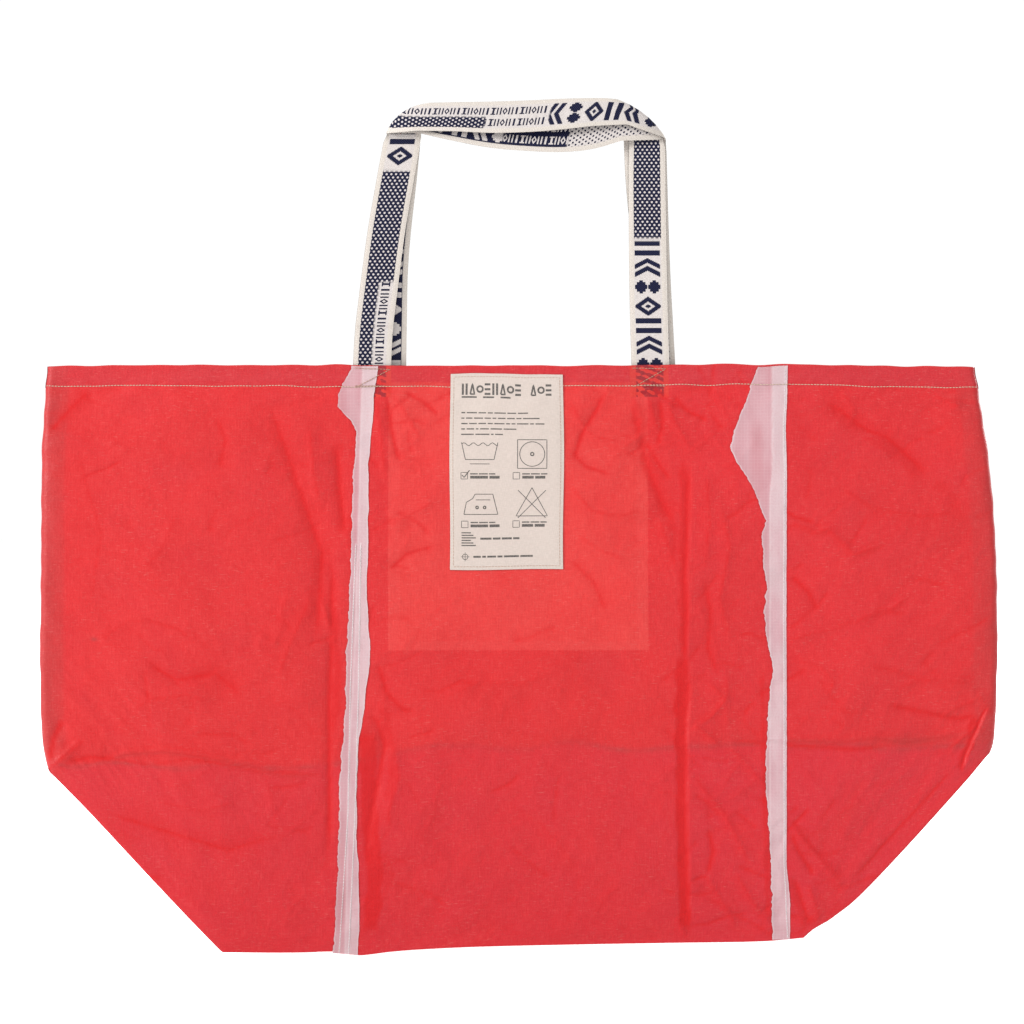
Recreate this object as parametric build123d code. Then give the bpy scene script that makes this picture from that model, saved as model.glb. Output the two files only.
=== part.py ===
from build123d import *
import os

# A boxed shopping tote of thin coated cloth, lying shut: the front face looks along -Y, +Z is up to the handles.
# The base is folded up in half between the front and the back, and the lower corners of the sides are folded in.

# Driving dimensions, in mm
HEIGHT = 465.0            # rim above the bottom fold
BASE_WIDTH = 466.0        # between the upright corners of the open bag
BASE_DEPTH = 290.0        # front to back of the open bag
CLOTH = 0.8               # thickness of one cloth panel
PANEL_MIDDLE = 5.0        # from the middle of the shut bag to the middle of each face panel
FORWARD_TRIM = 0.5        # shifts the stack so that label and thread stay inside an even depth
INNER_GAP = 0.3           # between a face panel and the folded cloth behind it

HINGE_GAP = 0.6           # from a vertical fold line to the panel edge
DIAGONAL_GAP = 0.5        # from a diagonal fold line to the cloth edge
BASE_FOLD_Z = 1.9         # height of the fold between face and base
CORNER_Z = 0.4            # height at which the diagonal folds start

HEM = 15.0                # depth of the hem turned in at the rim
HEM_CLOTH = 0.6
STITCH = 0.6              # width of a line of thread
THREAD = 0.3              # how far thread stands proud

WEBBING = 30.0            # width of the handle webbing
WEBBING_THICK = 1.0
STRAP_BEHIND = 1.6        # from the face panel's middle to the near side of the webbing
STRAP_TAIL = 25.0         # length of handle sewn inside below the rim
HANDLE_START = 2.0        # height above the rim where the free handle starts

POCKET_TOP_GAP = 4.0      # between the hem and the upper edge of the pocket cloth
POCKET = (-103.0, 103.0, 239.0, HEIGHT - HEM - POCKET_TOP_GAP)      # low x, high x, low z, high z
LABEL = (-54.0, 36.0, 302.0, 458.0)

os.makedirs("parts", exist_ok=True)

half_base = BASE_WIDTH / 2
fold = BASE_DEPTH / 2
y_back = PANEL_MIDDLE + FORWARD_TRIM
y_front = -PANEL_MIDDLE + FORWARD_TRIM


def slab(outline, y_low, y_high):
    """A flat piece with an outline in X and Z, between two depths."""
    plane = Plane(origin=(0, y_high, 0), x_dir=(1, 0, 0), z_dir=(0, -1, 0))
    face = plane * Polygon(*outline, align=None)
    return extrude(face, amount=y_high - y_low, dir=(0, -1, 0))


def rectangle(x_low, x_high, z_low, z_high):
    return [(x_low, z_low), (x_high, z_low), (x_high, z_high), (x_low, z_high)]


def line(start, end, width):
    """The outline of a straight line of thread."""
    a, b = Vector(*start), Vector(*end)
    across = (b - a).normalized().rotate(Axis.Z, 90) * (width / 2)
    corners = [a - across, b - across, b + across, a + across]
    return [(p.X, p.Y) for p in corners]


def thread_lines(spans, z, depth):
    """Several level stretches of thread, each given by its low and high x."""
    stretches = []
    for x_low, x_high in spans:
        stretches.append(slab(line((x_low, z), (x_high, z), STITCH), *depth))
    return Compound(children=stretches)


def save(shape, node):
    export_step(shape, f"parts/{node}.step")


def behind(middle, inward, start, thickness):
    """Low and high depth of a layer that starts so far inward from a panel's middle."""
    near = middle + inward * start
    far = near + inward * thickness
    return min(near, far), max(near, far)


# Each face: its middle depth, and the way to the inside of the bag
FACES = {"front": (y_front, 1), "back": (y_back, -1)}
SIDES = {"left": -1, "right": 1}

edge = half_base - HINGE_GAP
side_near = half_base + HINGE_GAP
side_far = half_base + fold - DIAGONAL_GAP
layer_start = CLOTH / 2 + INNER_GAP

# Where the middle of each handle leg meets the rim, and where it meets the run across the top
HANDLES = {
    "front": {"rim": (-116.0, 102.0), "top": (-92.0, 102.0), "crown": 667.0},
    "back": {"rim": (-104.0, 111.0), "top": (-84.0, 107.0), "crown": 677.0},
}

for face, (middle, inward) in FACES.items():
    # Centre panel and its hem, with the line of thread that holds the hem
    panel_depth = (middle - CLOTH / 2, middle + CLOTH / 2)
    save(slab(rectangle(-edge, edge, 0, HEIGHT), *panel_depth), f"{face}_panel")
    hem_depth = behind(middle, inward, layer_start, HEM_CLOTH)
    hem_edge = half_base - 1.7
    save(slab(rectangle(-hem_edge, hem_edge, HEIGHT - HEM - 3, HEIGHT - 0.5), *hem_depth), f"{face}_hem")

    # Half of the base, folded up behind the panel
    base_edge = half_base - 0.8
    base_depth = behind(middle, inward, layer_start, CLOTH)
    base_outline = rectangle(-base_edge, base_edge, BASE_FOLD_Z + 0.7, BASE_FOLD_Z + fold - 0.5)
    save(slab(base_outline, *base_depth), f"base_{face}_half")

    # Tails of the handle, sewn to the inside of the hem, and the free handle above the rim
    strap_depth = behind(middle, inward, STRAP_BEHIND, WEBBING_THICK)
    handle = HANDLES[face]
    for side, rim_x in zip(SIDES, handle["rim"]):
        tail = rectangle(rim_x - WEBBING / 2, rim_x + WEBBING / 2, HEIGHT - STRAP_TAIL, HEIGHT + 1)
        save(slab(tail, *strap_depth), f"{face}_strap_end_{side}")

    start_z = HEIGHT + HANDLE_START
    crown_z = handle["crown"]
    under_z = crown_z - WEBBING
    half_strap = WEBBING / 2
    corner = 26.0
    rim_left, rim_right = handle["rim"]
    top_left, top_right = handle["top"]
    loop = [
        (rim_left - half_strap, start_z),
        (rim_left + half_strap, start_z),
        (top_left + half_strap, under_z),
        (top_right - half_strap, under_z),
        (rim_right - half_strap, start_z),
        (rim_right + half_strap, start_z),
        (top_right + half_strap, crown_z - corner),
        (top_right + half_strap - corner, crown_z),
        (top_left - half_strap + corner, crown_z),
        (top_left - half_strap, crown_z - corner),
    ]
    save(slab(loop, *strap_depth), f"{face}_handle_webbing")

    for side, sign in SIDES.items():
        # Side half: a panel whose lower corner is cut away along the diagonal fold
        slant = DIAGONAL_GAP * 2 ** 0.5
        low_z = CORNER_Z + HINGE_GAP + slant
        tip_z = CORNER_Z + (side_far - half_base) + slant
        side_outline = [
            (sign * side_near, low_z),
            (sign * side_far, tip_z),
            (sign * side_far, HEIGHT),
            (sign * side_near, HEIGHT),
        ]
        save(slab(side_outline, *panel_depth), f"side_{face}_{side}")

        # The corner flap: the cut away triangle, folded in on the diagonal
        flap_outline = [
            (sign * (half_base + 0.8), CORNER_Z + 0.8 + slant),
            (sign * (side_far - slant), CORNER_Z + fold - DIAGONAL_GAP),
            (sign * (half_base + 0.8), CORNER_Z + fold - DIAGONAL_GAP),
        ]
        save(slab(flap_outline, *base_depth), f"corner_flap_{face}_{side}")

        hem_outline = rectangle(half_base + 1.7, side_far, HEIGHT - HEM - 3, HEIGHT - 0.5)
        hem_outline = [(sign * x, z) for x, z in hem_outline]
        save(slab(hem_outline, *hem_depth), f"side_hem_{face}_{side}")

# Seam allowance inside each side edge, above the corner flaps
for side, sign in SIDES.items():
    seam = rectangle(side_far - 20, side_far, CORNER_Z + fold + 3, HEIGHT - HEM - 4)
    seam = [(sign * x, z) for x, z in seam]
    save(slab(seam, *behind(y_back, -1, CLOTH / 2 + 0.1, HEM_CLOTH)), f"side_seam_{side}")

# Thread on the outside of the front, and on the inside of the back hem
front_thread = behind(y_front, -1, CLOTH / 2 + 0.05, THREAD)
back_thread = behind(y_back, -1, layer_start + HEM_CLOTH + 0.05, THREAD)
stitch_z = HEIGHT - HEM
strap_left, strap_right = HANDLES["front"]["rim"]

label_depth = behind(y_front, -1, CLOTH / 2 + 0.1, 0.6)
label_thread = behind(y_front, -1, CLOTH / 2 + 0.75, 0.25)

# The hem is stitched between the edge strips and the label, which hide the rest of the line
hem_spans = [
    (-edge, -148.0),
    (-98.0, LABEL[0] - 1),
    (LABEL[1] + 1, 86.0),
    (222.0, edge),
]
save(thread_lines(hem_spans, stitch_z, front_thread), "front_hem_stitching")

gap_left, gap_right = HANDLES["back"]["rim"]
back_spans = [
    (-half_base + 4, gap_left - 17),
    (gap_left + 17, gap_right - 17),
    (gap_right + 17, half_base - 4),
]
save(thread_lines(back_spans, stitch_z, back_thread), "back_hem_stitching")

# Each front strap end is held by a Z of thread through the panel
for side, rim_x in zip(SIDES, (strap_left, strap_right)):
    half = WEBBING / 2 - 2 if side == "right" else 11.0
    centre = rim_x if side == "right" else rim_x + 4.5
    top_z = HEIGHT - 2
    low_z = HEIGHT - STRAP_TAIL + 4
    stroke = slab(line((centre - half, top_z), (centre + half, top_z), STITCH), *front_thread)
    stroke += slab(line((centre + half, top_z), (centre - half, low_z), STITCH), *front_thread)
    stroke += slab(line((centre - half, low_z), (centre + half, low_z), STITCH), *front_thread)
    save(stroke, f"front_strap_stitching_{side}")

# Patch pocket sewn inside the front panel
pocket_depth = behind(y_front, 1, CLOTH / 2 + 0.1, 0.5)
save(slab(rectangle(*POCKET), *pocket_depth), "inner_pocket")
pocket_thread = behind(y_front, 1, CLOTH / 2 + 0.65, 0.25)
inset = 3.0
seam_left = POCKET[0] + inset
seam_right = POCKET[1] - inset
seam_low = POCKET[2] + inset
seams = slab(line((seam_left, seam_low), (seam_right, seam_low), STITCH), *pocket_thread)
for x in (seam_left, seam_right):
    seams += slab(line((x, seam_low), (x, POCKET[3] - 1), STITCH), *pocket_thread)
save(seams, "inner_pocket_stitching")

# Cotton label on the front, and the thread round its edge
label_x_low, label_x_high, label_z_low, label_z_high = LABEL
save(slab(rectangle(*LABEL), *label_depth), "care_label")
outer = rectangle(label_x_low + 2.2, label_x_high - 2.2, label_z_low + 2.2, label_z_high - 2.2)
inner = rectangle(label_x_low + 2.8, label_x_high - 2.8, label_z_low + 2.8, label_z_high - 2.8)
save(slab(outer, *label_thread) - slab(inner, *label_thread), "care_label_stitching")

# Cut remains of an older seam: a pale strip down each side of the front, with a ragged outer edge
strip_depth = behind(y_front, -1, CLOTH / 2 + 0.45, 0.4)
strip_left = [
    (-145.0, 1.0), (-127.0, 1.0), (-128.0, 60.0), (-124.0, 180.0),
    (-119.0, 235.0), (-119.0, 380.0), (-113.0, 462.0),
    (-130.5, 462.0), (-130.0, 448.0), (-142.0, 428.0), (-131.0, 410.0),
    (-132.0, 330.0), (-139.0, 160.0), (-143.0, 60.0),
]
strip_right = [
    (199.0, 1.0), (215.0, 1.0), (212.0, 90.0), (211.0, 380.0), (214.0, 462.0),
    (190.0, 462.0), (167.0, 400.0), (182.0, 376.0), (190.0, 358.0),
    (194.0, 290.0), (200.0, 230.0), (197.0, 140.0), (202.0, 60.0),
]
save(slab(strip_left, *strip_depth), "seam_strip_left")
save(slab(strip_right, *strip_depth), "seam_strip_right")
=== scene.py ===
import math

import bmesh
import bpy
import numpy as np
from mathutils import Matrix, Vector


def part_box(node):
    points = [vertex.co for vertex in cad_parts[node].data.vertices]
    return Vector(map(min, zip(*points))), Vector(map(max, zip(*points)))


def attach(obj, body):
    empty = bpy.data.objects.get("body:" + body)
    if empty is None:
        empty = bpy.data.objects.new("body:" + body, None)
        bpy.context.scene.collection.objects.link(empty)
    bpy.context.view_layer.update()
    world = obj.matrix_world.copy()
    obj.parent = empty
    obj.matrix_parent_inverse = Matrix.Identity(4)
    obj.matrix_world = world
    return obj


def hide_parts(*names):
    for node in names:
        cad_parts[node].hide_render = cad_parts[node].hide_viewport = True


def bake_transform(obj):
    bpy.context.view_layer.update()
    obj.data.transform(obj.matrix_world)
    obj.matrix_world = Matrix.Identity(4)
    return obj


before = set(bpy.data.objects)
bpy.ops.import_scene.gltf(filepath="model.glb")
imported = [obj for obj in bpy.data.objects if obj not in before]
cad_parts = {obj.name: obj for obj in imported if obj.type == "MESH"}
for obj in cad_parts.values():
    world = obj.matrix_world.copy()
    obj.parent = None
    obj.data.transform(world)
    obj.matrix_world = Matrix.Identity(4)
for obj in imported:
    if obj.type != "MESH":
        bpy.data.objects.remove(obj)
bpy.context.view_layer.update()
MM = 0.001

# ---------------------------------------------------------------- sizes read from the frame
panel_low, panel_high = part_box("front_panel")
back_low, back_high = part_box("back_panel")
HALF = panel_high.x + 0.6 * MM          # the upright fold between face and side
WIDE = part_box("side_front_right")[1].x  # the outer edge of the sides
RIM = panel_high.z
Y_FRONT = (panel_low.y + panel_high.y) / 2
Y_BACK = (back_low.y + back_high.y) / 2
Y_MIDDLE = (Y_FRONT + Y_BACK) / 2
PLANES = {"front": Y_FRONT, "back": Y_BACK}
OUTWARD = {"front": -1, "back": 1}
SIDES = (("left", -1), ("right", 1))
FLAP_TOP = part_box("corner_flap_front_left")[1].z
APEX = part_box("base_front_half")[1].z + 0.5 * MM
CUT = HALF - 22 * MM                    # where a face is split in a middle and two outer pieces
BEND = 7 * MM                           # how far to each side of a fold the cloth bends
HINGE_Z = RIM + 1.5 * MM


# ---------------------------------------------------------------- small helpers
def smooth(a, b, x):
    t = np.clip((x - a) / (b - a), 0, 1)
    return t * t * (3 - 2 * t)


def bell(x, width):
    return np.exp(-((x / width) ** 2))


def fading(along, part):
    """1 along a line, and falling to 0 over the given part of it at either end."""
    return smooth(0, part, along) * smooth(1, 1 - part, along)


def noise_field(shape, spacing, wavelength, seed, stretch=1.0):
    """Smooth random field with the given wavelength, spread to about -1..1."""
    rng = np.random.default_rng(seed)
    spectrum = np.fft.rfft2(rng.standard_normal(shape))
    fx = np.fft.fftfreq(shape[0], spacing)[:, None] * stretch
    fz = np.fft.rfftfreq(shape[1], spacing)[None, :]
    f = np.hypot(fx, fz) * wavelength
    field = np.fft.irfft2(spectrum * np.exp(-((f - 1) ** 2) / 0.18), s=shape)
    return field / (2.2 * field.std())


def polyline_distance(x, z, points):
    """Distance to a polyline, signed side, and place along it from 0 to 1."""
    best = np.full(x.shape, 1e9)
    side, along = np.zeros(x.shape), np.zeros(x.shape)
    lengths = [math.dist(a, b) for a, b in zip(points, points[1:])]
    run = 0.0
    for (ax, az), (bx, bz), length in zip(points, points[1:], lengths):
        dx, dz = (bx - ax) / length, (bz - az) / length
        t = np.clip((x - ax) * dx + (z - az) * dz, 0, length)
        d = np.hypot(x - ax - t * dx, z - az - t * dz)
        near = d < best
        best = np.where(near, d, best)
        side = np.where(near, dx * (z - az) - dz * (x - ax), side)
        along = np.where(near, (run + t) / sum(lengths), along)
        run += length
    return best, side, along


def new_object(name, verts, faces, materials, uv=None, colours=None):
    """A smooth shaded mesh. uv (metres) and colours (the Tint) have one row for each point."""
    mesh = bpy.data.meshes.new(name)
    mesh.from_pydata(np.reshape(verts, (-1, 3)).tolist(), [], faces)
    loops = np.empty(len(mesh.loops), int)
    mesh.loops.foreach_get("vertex_index", loops)
    if uv is not None:
        layer = mesh.uv_layers.new(name="UVMap")
        layer.data.foreach_set("uv", np.reshape(uv, (-1, 2))[loops].astype(np.float32).ravel())
    if colours is not None:
        attribute = mesh.attributes.new("Tint", "FLOAT_COLOR", "POINT")
        rgba = np.pad(np.reshape(colours, (-1, 3)), ((0, 0), (0, 1)), constant_values=1)
        attribute.data.foreach_set("color", rgba.astype(np.float32).ravel())
    obj = bpy.data.objects.new(name, mesh)
    bpy.context.scene.collection.objects.link(obj)
    for material in materials:
        mesh.materials.append(material)
    mesh.polygons.foreach_set("use_smooth", [True] * len(mesh.polygons))
    return obj


def grid_quads(index, flip=False):
    """The quads between the neighbours of an array of point numbers."""
    a, b, c, d = index[:-1, :-1], index[1:, :-1], index[1:, 1:], index[:-1, 1:]
    return np.stack([a, d, c, b] if flip else [a, b, c, d], -1).reshape(-1, 4)


def grid_object(name, points, uv, material, normals=None, colours=None, flip=False):
    """A sheet from an array of points (columns, rows, 3)."""
    index = np.arange(points[..., 0].size).reshape(points.shape[:2])
    obj = new_object(name, points, grid_quads(index, flip).tolist(), [material], uv, colours)
    if normals is not None:
        obj.data.normals_split_custom_set_from_vertices(normals.reshape(-1, 3).tolist())
    return obj


def grid_normals(points, flip=False):
    n = np.cross(np.gradient(points, axis=0), np.gradient(points, axis=1))
    n /= np.linalg.norm(n, axis=-1, keepdims=True) + 1e-12
    return -n if flip else n


def settle(obj, body, slot, *replaced):
    """Ties a piece to its body when body is a name; where body is (body, next body, start, end), across a
    joint, its place is only baked into its mesh.
    """
    if isinstance(body, str):
        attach(obj, body)
    else:
        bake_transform(obj)
    if replaced:
        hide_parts(*replaced)


def side_fold(face, part, sign):
    """The bodies and the ends of the bend where a face turns into its side."""
    start, end = ((sign * (HALF + reach), PLANES[face], 0.2) for reach in (-BEND, BEND))
    return face, f"side_{face}_{part}_half", start, end


# ---------------------------------------------------------------- node helpers
class Value:
    """A number in a material's nodes, used with ordinary signs."""

    def __init__(self, nodes, socket):
        self.nodes = nodes
        self.socket = socket


def node_sign(operation):
    return lambda *values: values[0].nodes.math(operation, *values)


for sign, operation in {
    "add": "ADD", "sub": "SUBTRACT", "mul": "MULTIPLY", "truediv": "DIVIDE",
    "mod": "FLOORED_MODULO", "pow": "POWER", "abs": "ABSOLUTE",
}.items():
    setattr(Value, f"__{sign}__", node_sign(operation))


class Nodes:
    """Builds a material's nodes with few words. Its colour is painted on in coats."""

    def __init__(self, name):
        self.material = bpy.data.materials.new(name)
        self.material.use_nodes = True
        self.tree = self.material.node_tree
        self.shader = self.tree.nodes["Principled BSDF"]

    def add(self, kind, **settings):
        node = self.tree.nodes.new(kind)
        for key, value in settings.items():
            setattr(node, key, value)
        return node

    def put(self, socket, value):
        if isinstance(value, Value):
            value = value.socket
        if isinstance(value, bpy.types.NodeSocket):
            self.tree.links.new(value, socket)
        elif isinstance(value, tuple) and len(value) == 3 and socket.type == "RGBA":
            socket.default_value = (*value, 1.0)
        else:
            socket.default_value = value

    def fed(self, node, values, output=0):
        """The node's output, with values put in its inputs in their order."""
        for socket, value in zip(node.inputs, values):
            self.put(socket, value)
        return Value(self, node.outputs[output])

    def math(self, operation, *values, clamp=False):
        return self.fed(self.add("ShaderNodeMath", operation=operation, use_clamp=clamp), values)

    def ramp(self, value, low, high, to_low=0.0, to_high=1.0):
        """to_low up to low, to_high from high on, and smooth between."""
        if high < low:
            low, high, to_low, to_high = high, low, to_high, to_low
        node = self.add("ShaderNodeMapRange", interpolation_type="SMOOTHSTEP")
        return self.fed(node, (value, low, high, to_low, to_high))

    def between(self, value, low, high, soft):
        """1 where value is between low and high, with soft edges."""
        up = self.ramp(value, low - soft / 2, low + soft / 2)
        return up * self.ramp(value, high + soft / 2, high - soft / 2)

    def floor(self, value, step):
        """How many whole steps fit in the value."""
        return self.math("FLOOR", value / step)

    def pick(self, number, shapes):
        """The shape at that number in the list."""
        picked = [shape * self.math("COMPARE", number, float(k), 0.1) for k, shape in enumerate(shapes)]
        return sum(picked[1:], picked[0])

    def grid(self, u, v, line):
        """Thin lines every 2.6 mm both ways."""
        return self.math("MAXIMUM", *(self.ramp(self.math("PINGPONG", at, 1.3), line, 0.0) for at in (u, v)))

    def mix(self, factor, a, b):
        node = self.add("ShaderNodeMix", data_type="RGBA")
        for place, value in ((0, factor), (6, a), (7, b)):
            self.put(node.inputs[place], value)
        return Value(self, node.outputs[2])

    def coat(self, factor, *rgb):
        """Lays one more colour on, as thick as the factor says."""
        self.colour = self.mix(factor, self.colour, srgb(*rgb))

    def uv(self):
        """The UV in millimetres, as two numbers and as a vector in metres."""
        place = self.add("ShaderNodeUVMap", uv_map="UVMap").outputs[0]
        split = self.add("ShaderNodeSeparateXYZ")
        u = self.fed(split, [place])
        return u * 1000.0, Value(self, split.outputs[1]) * 1000.0, place

    def tint(self):
        """The three numbers painted on the points."""
        split = self.add("ShaderNodeSeparateColor")
        self.put(split.inputs[0], self.add("ShaderNodeAttribute", attribute_name="Tint").outputs["Color"])
        return [Value(self, split.outputs[k]) for k in range(3)]

    def noise(self, vector, x, y, detail=2.0, rough=0.5, turn=0.0, z=1.0):
        """Noise of that many waves to a metre along x and y."""
        mapping = self.add("ShaderNodeMapping")
        scaled = self.fed(mapping, (vector, (0, 0, 0), (0, 0, turn), (x, y, z)))
        node = self.add("ShaderNodeTexNoise")
        for key, value in (("Vector", scaled), ("Scale", 1.0), ("Detail", detail), ("Roughness", rough)):
            self.put(node.inputs[key], value)
        return Value(self, node.outputs["Fac"])

    def bump(self, height, strength, distance, normal=None):
        node = self.add("ShaderNodeBump")
        for key, value in (
            ("Strength", strength), ("Distance", distance), ("Height", height), ("Normal", normal),
        ):
            if value is not None:
                self.put(node.inputs[key], value)
        return Value(self, node.outputs[0])

    def finish(self, roughness, normal=None, specular=0.4, sheen=0.0):
        for key, value in (
            ("Base Color", self.colour), ("Roughness", roughness), ("Normal", normal),
            ("Specular IOR Level", specular), ("Sheen Weight", sheen), ("Sheen Roughness", 0.5),
        ):
            if value is not None:
                self.put(self.shader.inputs[key], value)
        return self.material


EXPOSED = 0.392   # how much of the full colour is kept, since the studio light is brighter than 1


def srgb(*rgb):
    """A linear colour from 8 bit sRGB, made a little darker for the bright studio."""
    return tuple(EXPOSED * (c / 255 / 12.92 if c <= 10 else ((c / 255 + 0.055) / 1.055) ** 2.4) for c in rgb)


def toned(colour, factor):
    return tuple(c * factor for c in colour)


# ---------------------------------------------------------------- materials
def ripstop(name, front):
    """Thin red ripstop: fine grid, stray pale fibres, darker where layers lie behind it."""
    n = Nodes(name)
    u, v, vector = n.uv()
    plies, dirt_and_shade, shade = n.tint()
    patchy = n.noise(vector, 14, 14, 4.0, 0.55)
    n.colour = n.mix(n.ramp(patchy, 0.35, 0.65), srgb(228, 38, 42), srgb(233, 42, 46))
    n.coat(plies, 225, 39, 56)
    if front:
        # the pocket behind the cloth shows as a paler square, with paler hems
        inside = n.between(u, -103, 103, 1.2) * n.between(v, 239, 452, 1.2)
        core = n.between(u, -94, 94, 1.2) * n.between(v, 246, 470, 1.2)
        fade = n.ramp(n.noise(vector, 9, 9), 0.25, 0.6)
        n.coat(inside * n.ramp(fade, 0.0, 1.0, 0.5, 1.0) * 0.95, 243, 66, 62)
        n.coat(n.math("SUBTRACT", inside, core, clamp=True) * 0.18, 243, 84, 82)
        # the webbing tails inside the hem show through
        for x_low, x_high in ((-131, -101), (89, 120)):
            tail = n.between(u, x_low, x_high, 0.8) * n.between(v, 440, 480, 1.0)
            n.coat(tail * 0.8, 238, 64, 50)
            slant = n.math("SINE", v * 1.15 + u * 0.45)
            marks = n.ramp(n.noise(vector, 170, 120, 1.0) + slant * 0.13, 0.42, 0.49)
            n.coat(marks * (tail * n.between(u, x_low + 5, x_high - 4, 1.5)) * 0.9, 112, 12, 38)
    # dirt, and painted shade on the left edge, as a greyer red
    n.coat(dirt_and_shade * 0.8, 176, 62, 62)
    grid = n.grid(u, v, 0.35)
    uneven = n.ramp(n.noise(vector, 30, 30, 3.0), 0.3, 0.7, 0.25, 1.0)
    n.coat(grid * uneven * 0.09, 250, 96, 92)
    # stray pale fibres, mostly level, and the uneven yarns of the weave
    fibres = None
    for turn, x, y, cut in (
        (0.08, 150, 1500, 0.66), (-0.3, 170, 1500, 0.68), (0.55, 190, 1600, 0.69), (1.4, 200, 1700, 0.7),
    ):
        line = n.ramp(n.noise(vector, x, y, 1.5, 0.45, turn), cut, cut + 0.06)
        fibres = n.math("MAXIMUM", fibres, line) if fibres else line
    thin_out = n.ramp(n.noise(vector, 22, 22), 0.35, 0.65, 0.35, 1.0)
    n.coat(fibres * thin_out * 0.42, 250, 138, 130)
    yarns = n.noise(vector, 90, 2300) + n.noise(vector, 2300, 90)
    n.coat(n.ramp(yarns, 0.85, 1.2, 0.0, 0.32), 212, 22, 34)
    n.coat(n.ramp(yarns, 0.98, 0.75, 0.0, 0.14), 248, 108, 104)
    mottled = n.noise(vector, 900, 900)
    n.coat(n.ramp(mottled, 0.35, 0.75, 0.0, 0.13), 246, 92, 88)
    # painted shade: a deep red laid on where the Tint paints shade, in creases, hollows, bands and on slopes
    # turned from the side light
    n.coat(shade * 0.85, 225, 8, 14)
    rough = n.ramp(n.noise(vector, 60, 60, 4.0), 0.3, 0.7, 0.42, 0.56)
    fine = n.bump(grid * 0.6 + mottled * 0.8, 0.35, 0.00018)
    crumple = abs(n.noise(vector, 95, 95, 3.0, 0.6) - 0.5)
    return n.finish(rough, n.bump(crumple, 0.55, 0.0016, fine), specular=0.16)


def cotton(name, colour, weave_pitch=0.55):
    """Plain woven cotton tape with slubs."""
    n = Nodes(name)
    u, v, vector = n.uv()
    tone = n.noise(vector, 240, 1900) + n.noise(vector, 1900, 260)
    base = n.mix(n.ramp(tone, 0.8, 1.25), toned(colour, 0.94), toned(colour, 1.04))
    soil = n.ramp(n.noise(vector, 28, 28, 3.0), 0.5, 0.8, 0.0, 0.12)
    n.colour = n.mix(soil, base, toned(colour, 0.88))
    weave = n.math("PINGPONG", u, weave_pitch / 2) + n.math("PINGPONG", v, weave_pitch / 2)
    return n.finish(0.85, n.bump(weave * 1.6 + tone, 0.25, 0.0002), specular=0.15, sheen=0.05)


def thread(name, colour):
    n = Nodes(name)
    place = n.add("ShaderNodeTexCoord").outputs["Object"]
    twist = n.noise(place, 2600, 2600, 1.0, z=2600)
    n.colour = n.mix(n.ramp(twist, 0.3, 0.7), toned(colour, 0.8), colour)
    return n.finish(0.6, n.bump(twist, 0.5, 0.0001), specular=0.35, sheen=0.1)


def strip_cloth(name):
    """Pale see-through cut cloth: pinker where it is one layer, whiter where it is doubled."""
    n = Nodes(name)
    u, v, vector = n.uv()
    doubled, edge, veil = n.tint()
    cloud = n.ramp(n.noise(vector, 70, 25, 3.0), 0.3, 0.7)
    single = n.mix(cloud, srgb(216, 158, 165), srgb(222, 174, 180))
    n.colour = n.mix(cloud, srgb(221, 173, 180), srgb(230, 196, 200))
    n.coat(n.ramp(v, 230, 430, 0.0, 0.55), 228, 208, 210)
    n.colour = n.mix(doubled, single, n.colour)
    n.coat(edge * 0.62, 247, 230, 232)
    n.coat(veil * 0.35, 212, 132, 140)
    grid = n.grid(u, v, 0.3)
    n.coat(grid * 0.22, 240, 218, 222)
    fine = n.noise(vector, 700, 700)
    n.coat(n.ramp(fine, 0.35, 0.8, 0.0, 0.2), 214, 146, 156)
    return n.finish(0.6, n.bump(grid * 0.6 + fine, 0.3, 0.00015), specular=0.2, sheen=0.05)


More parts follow.
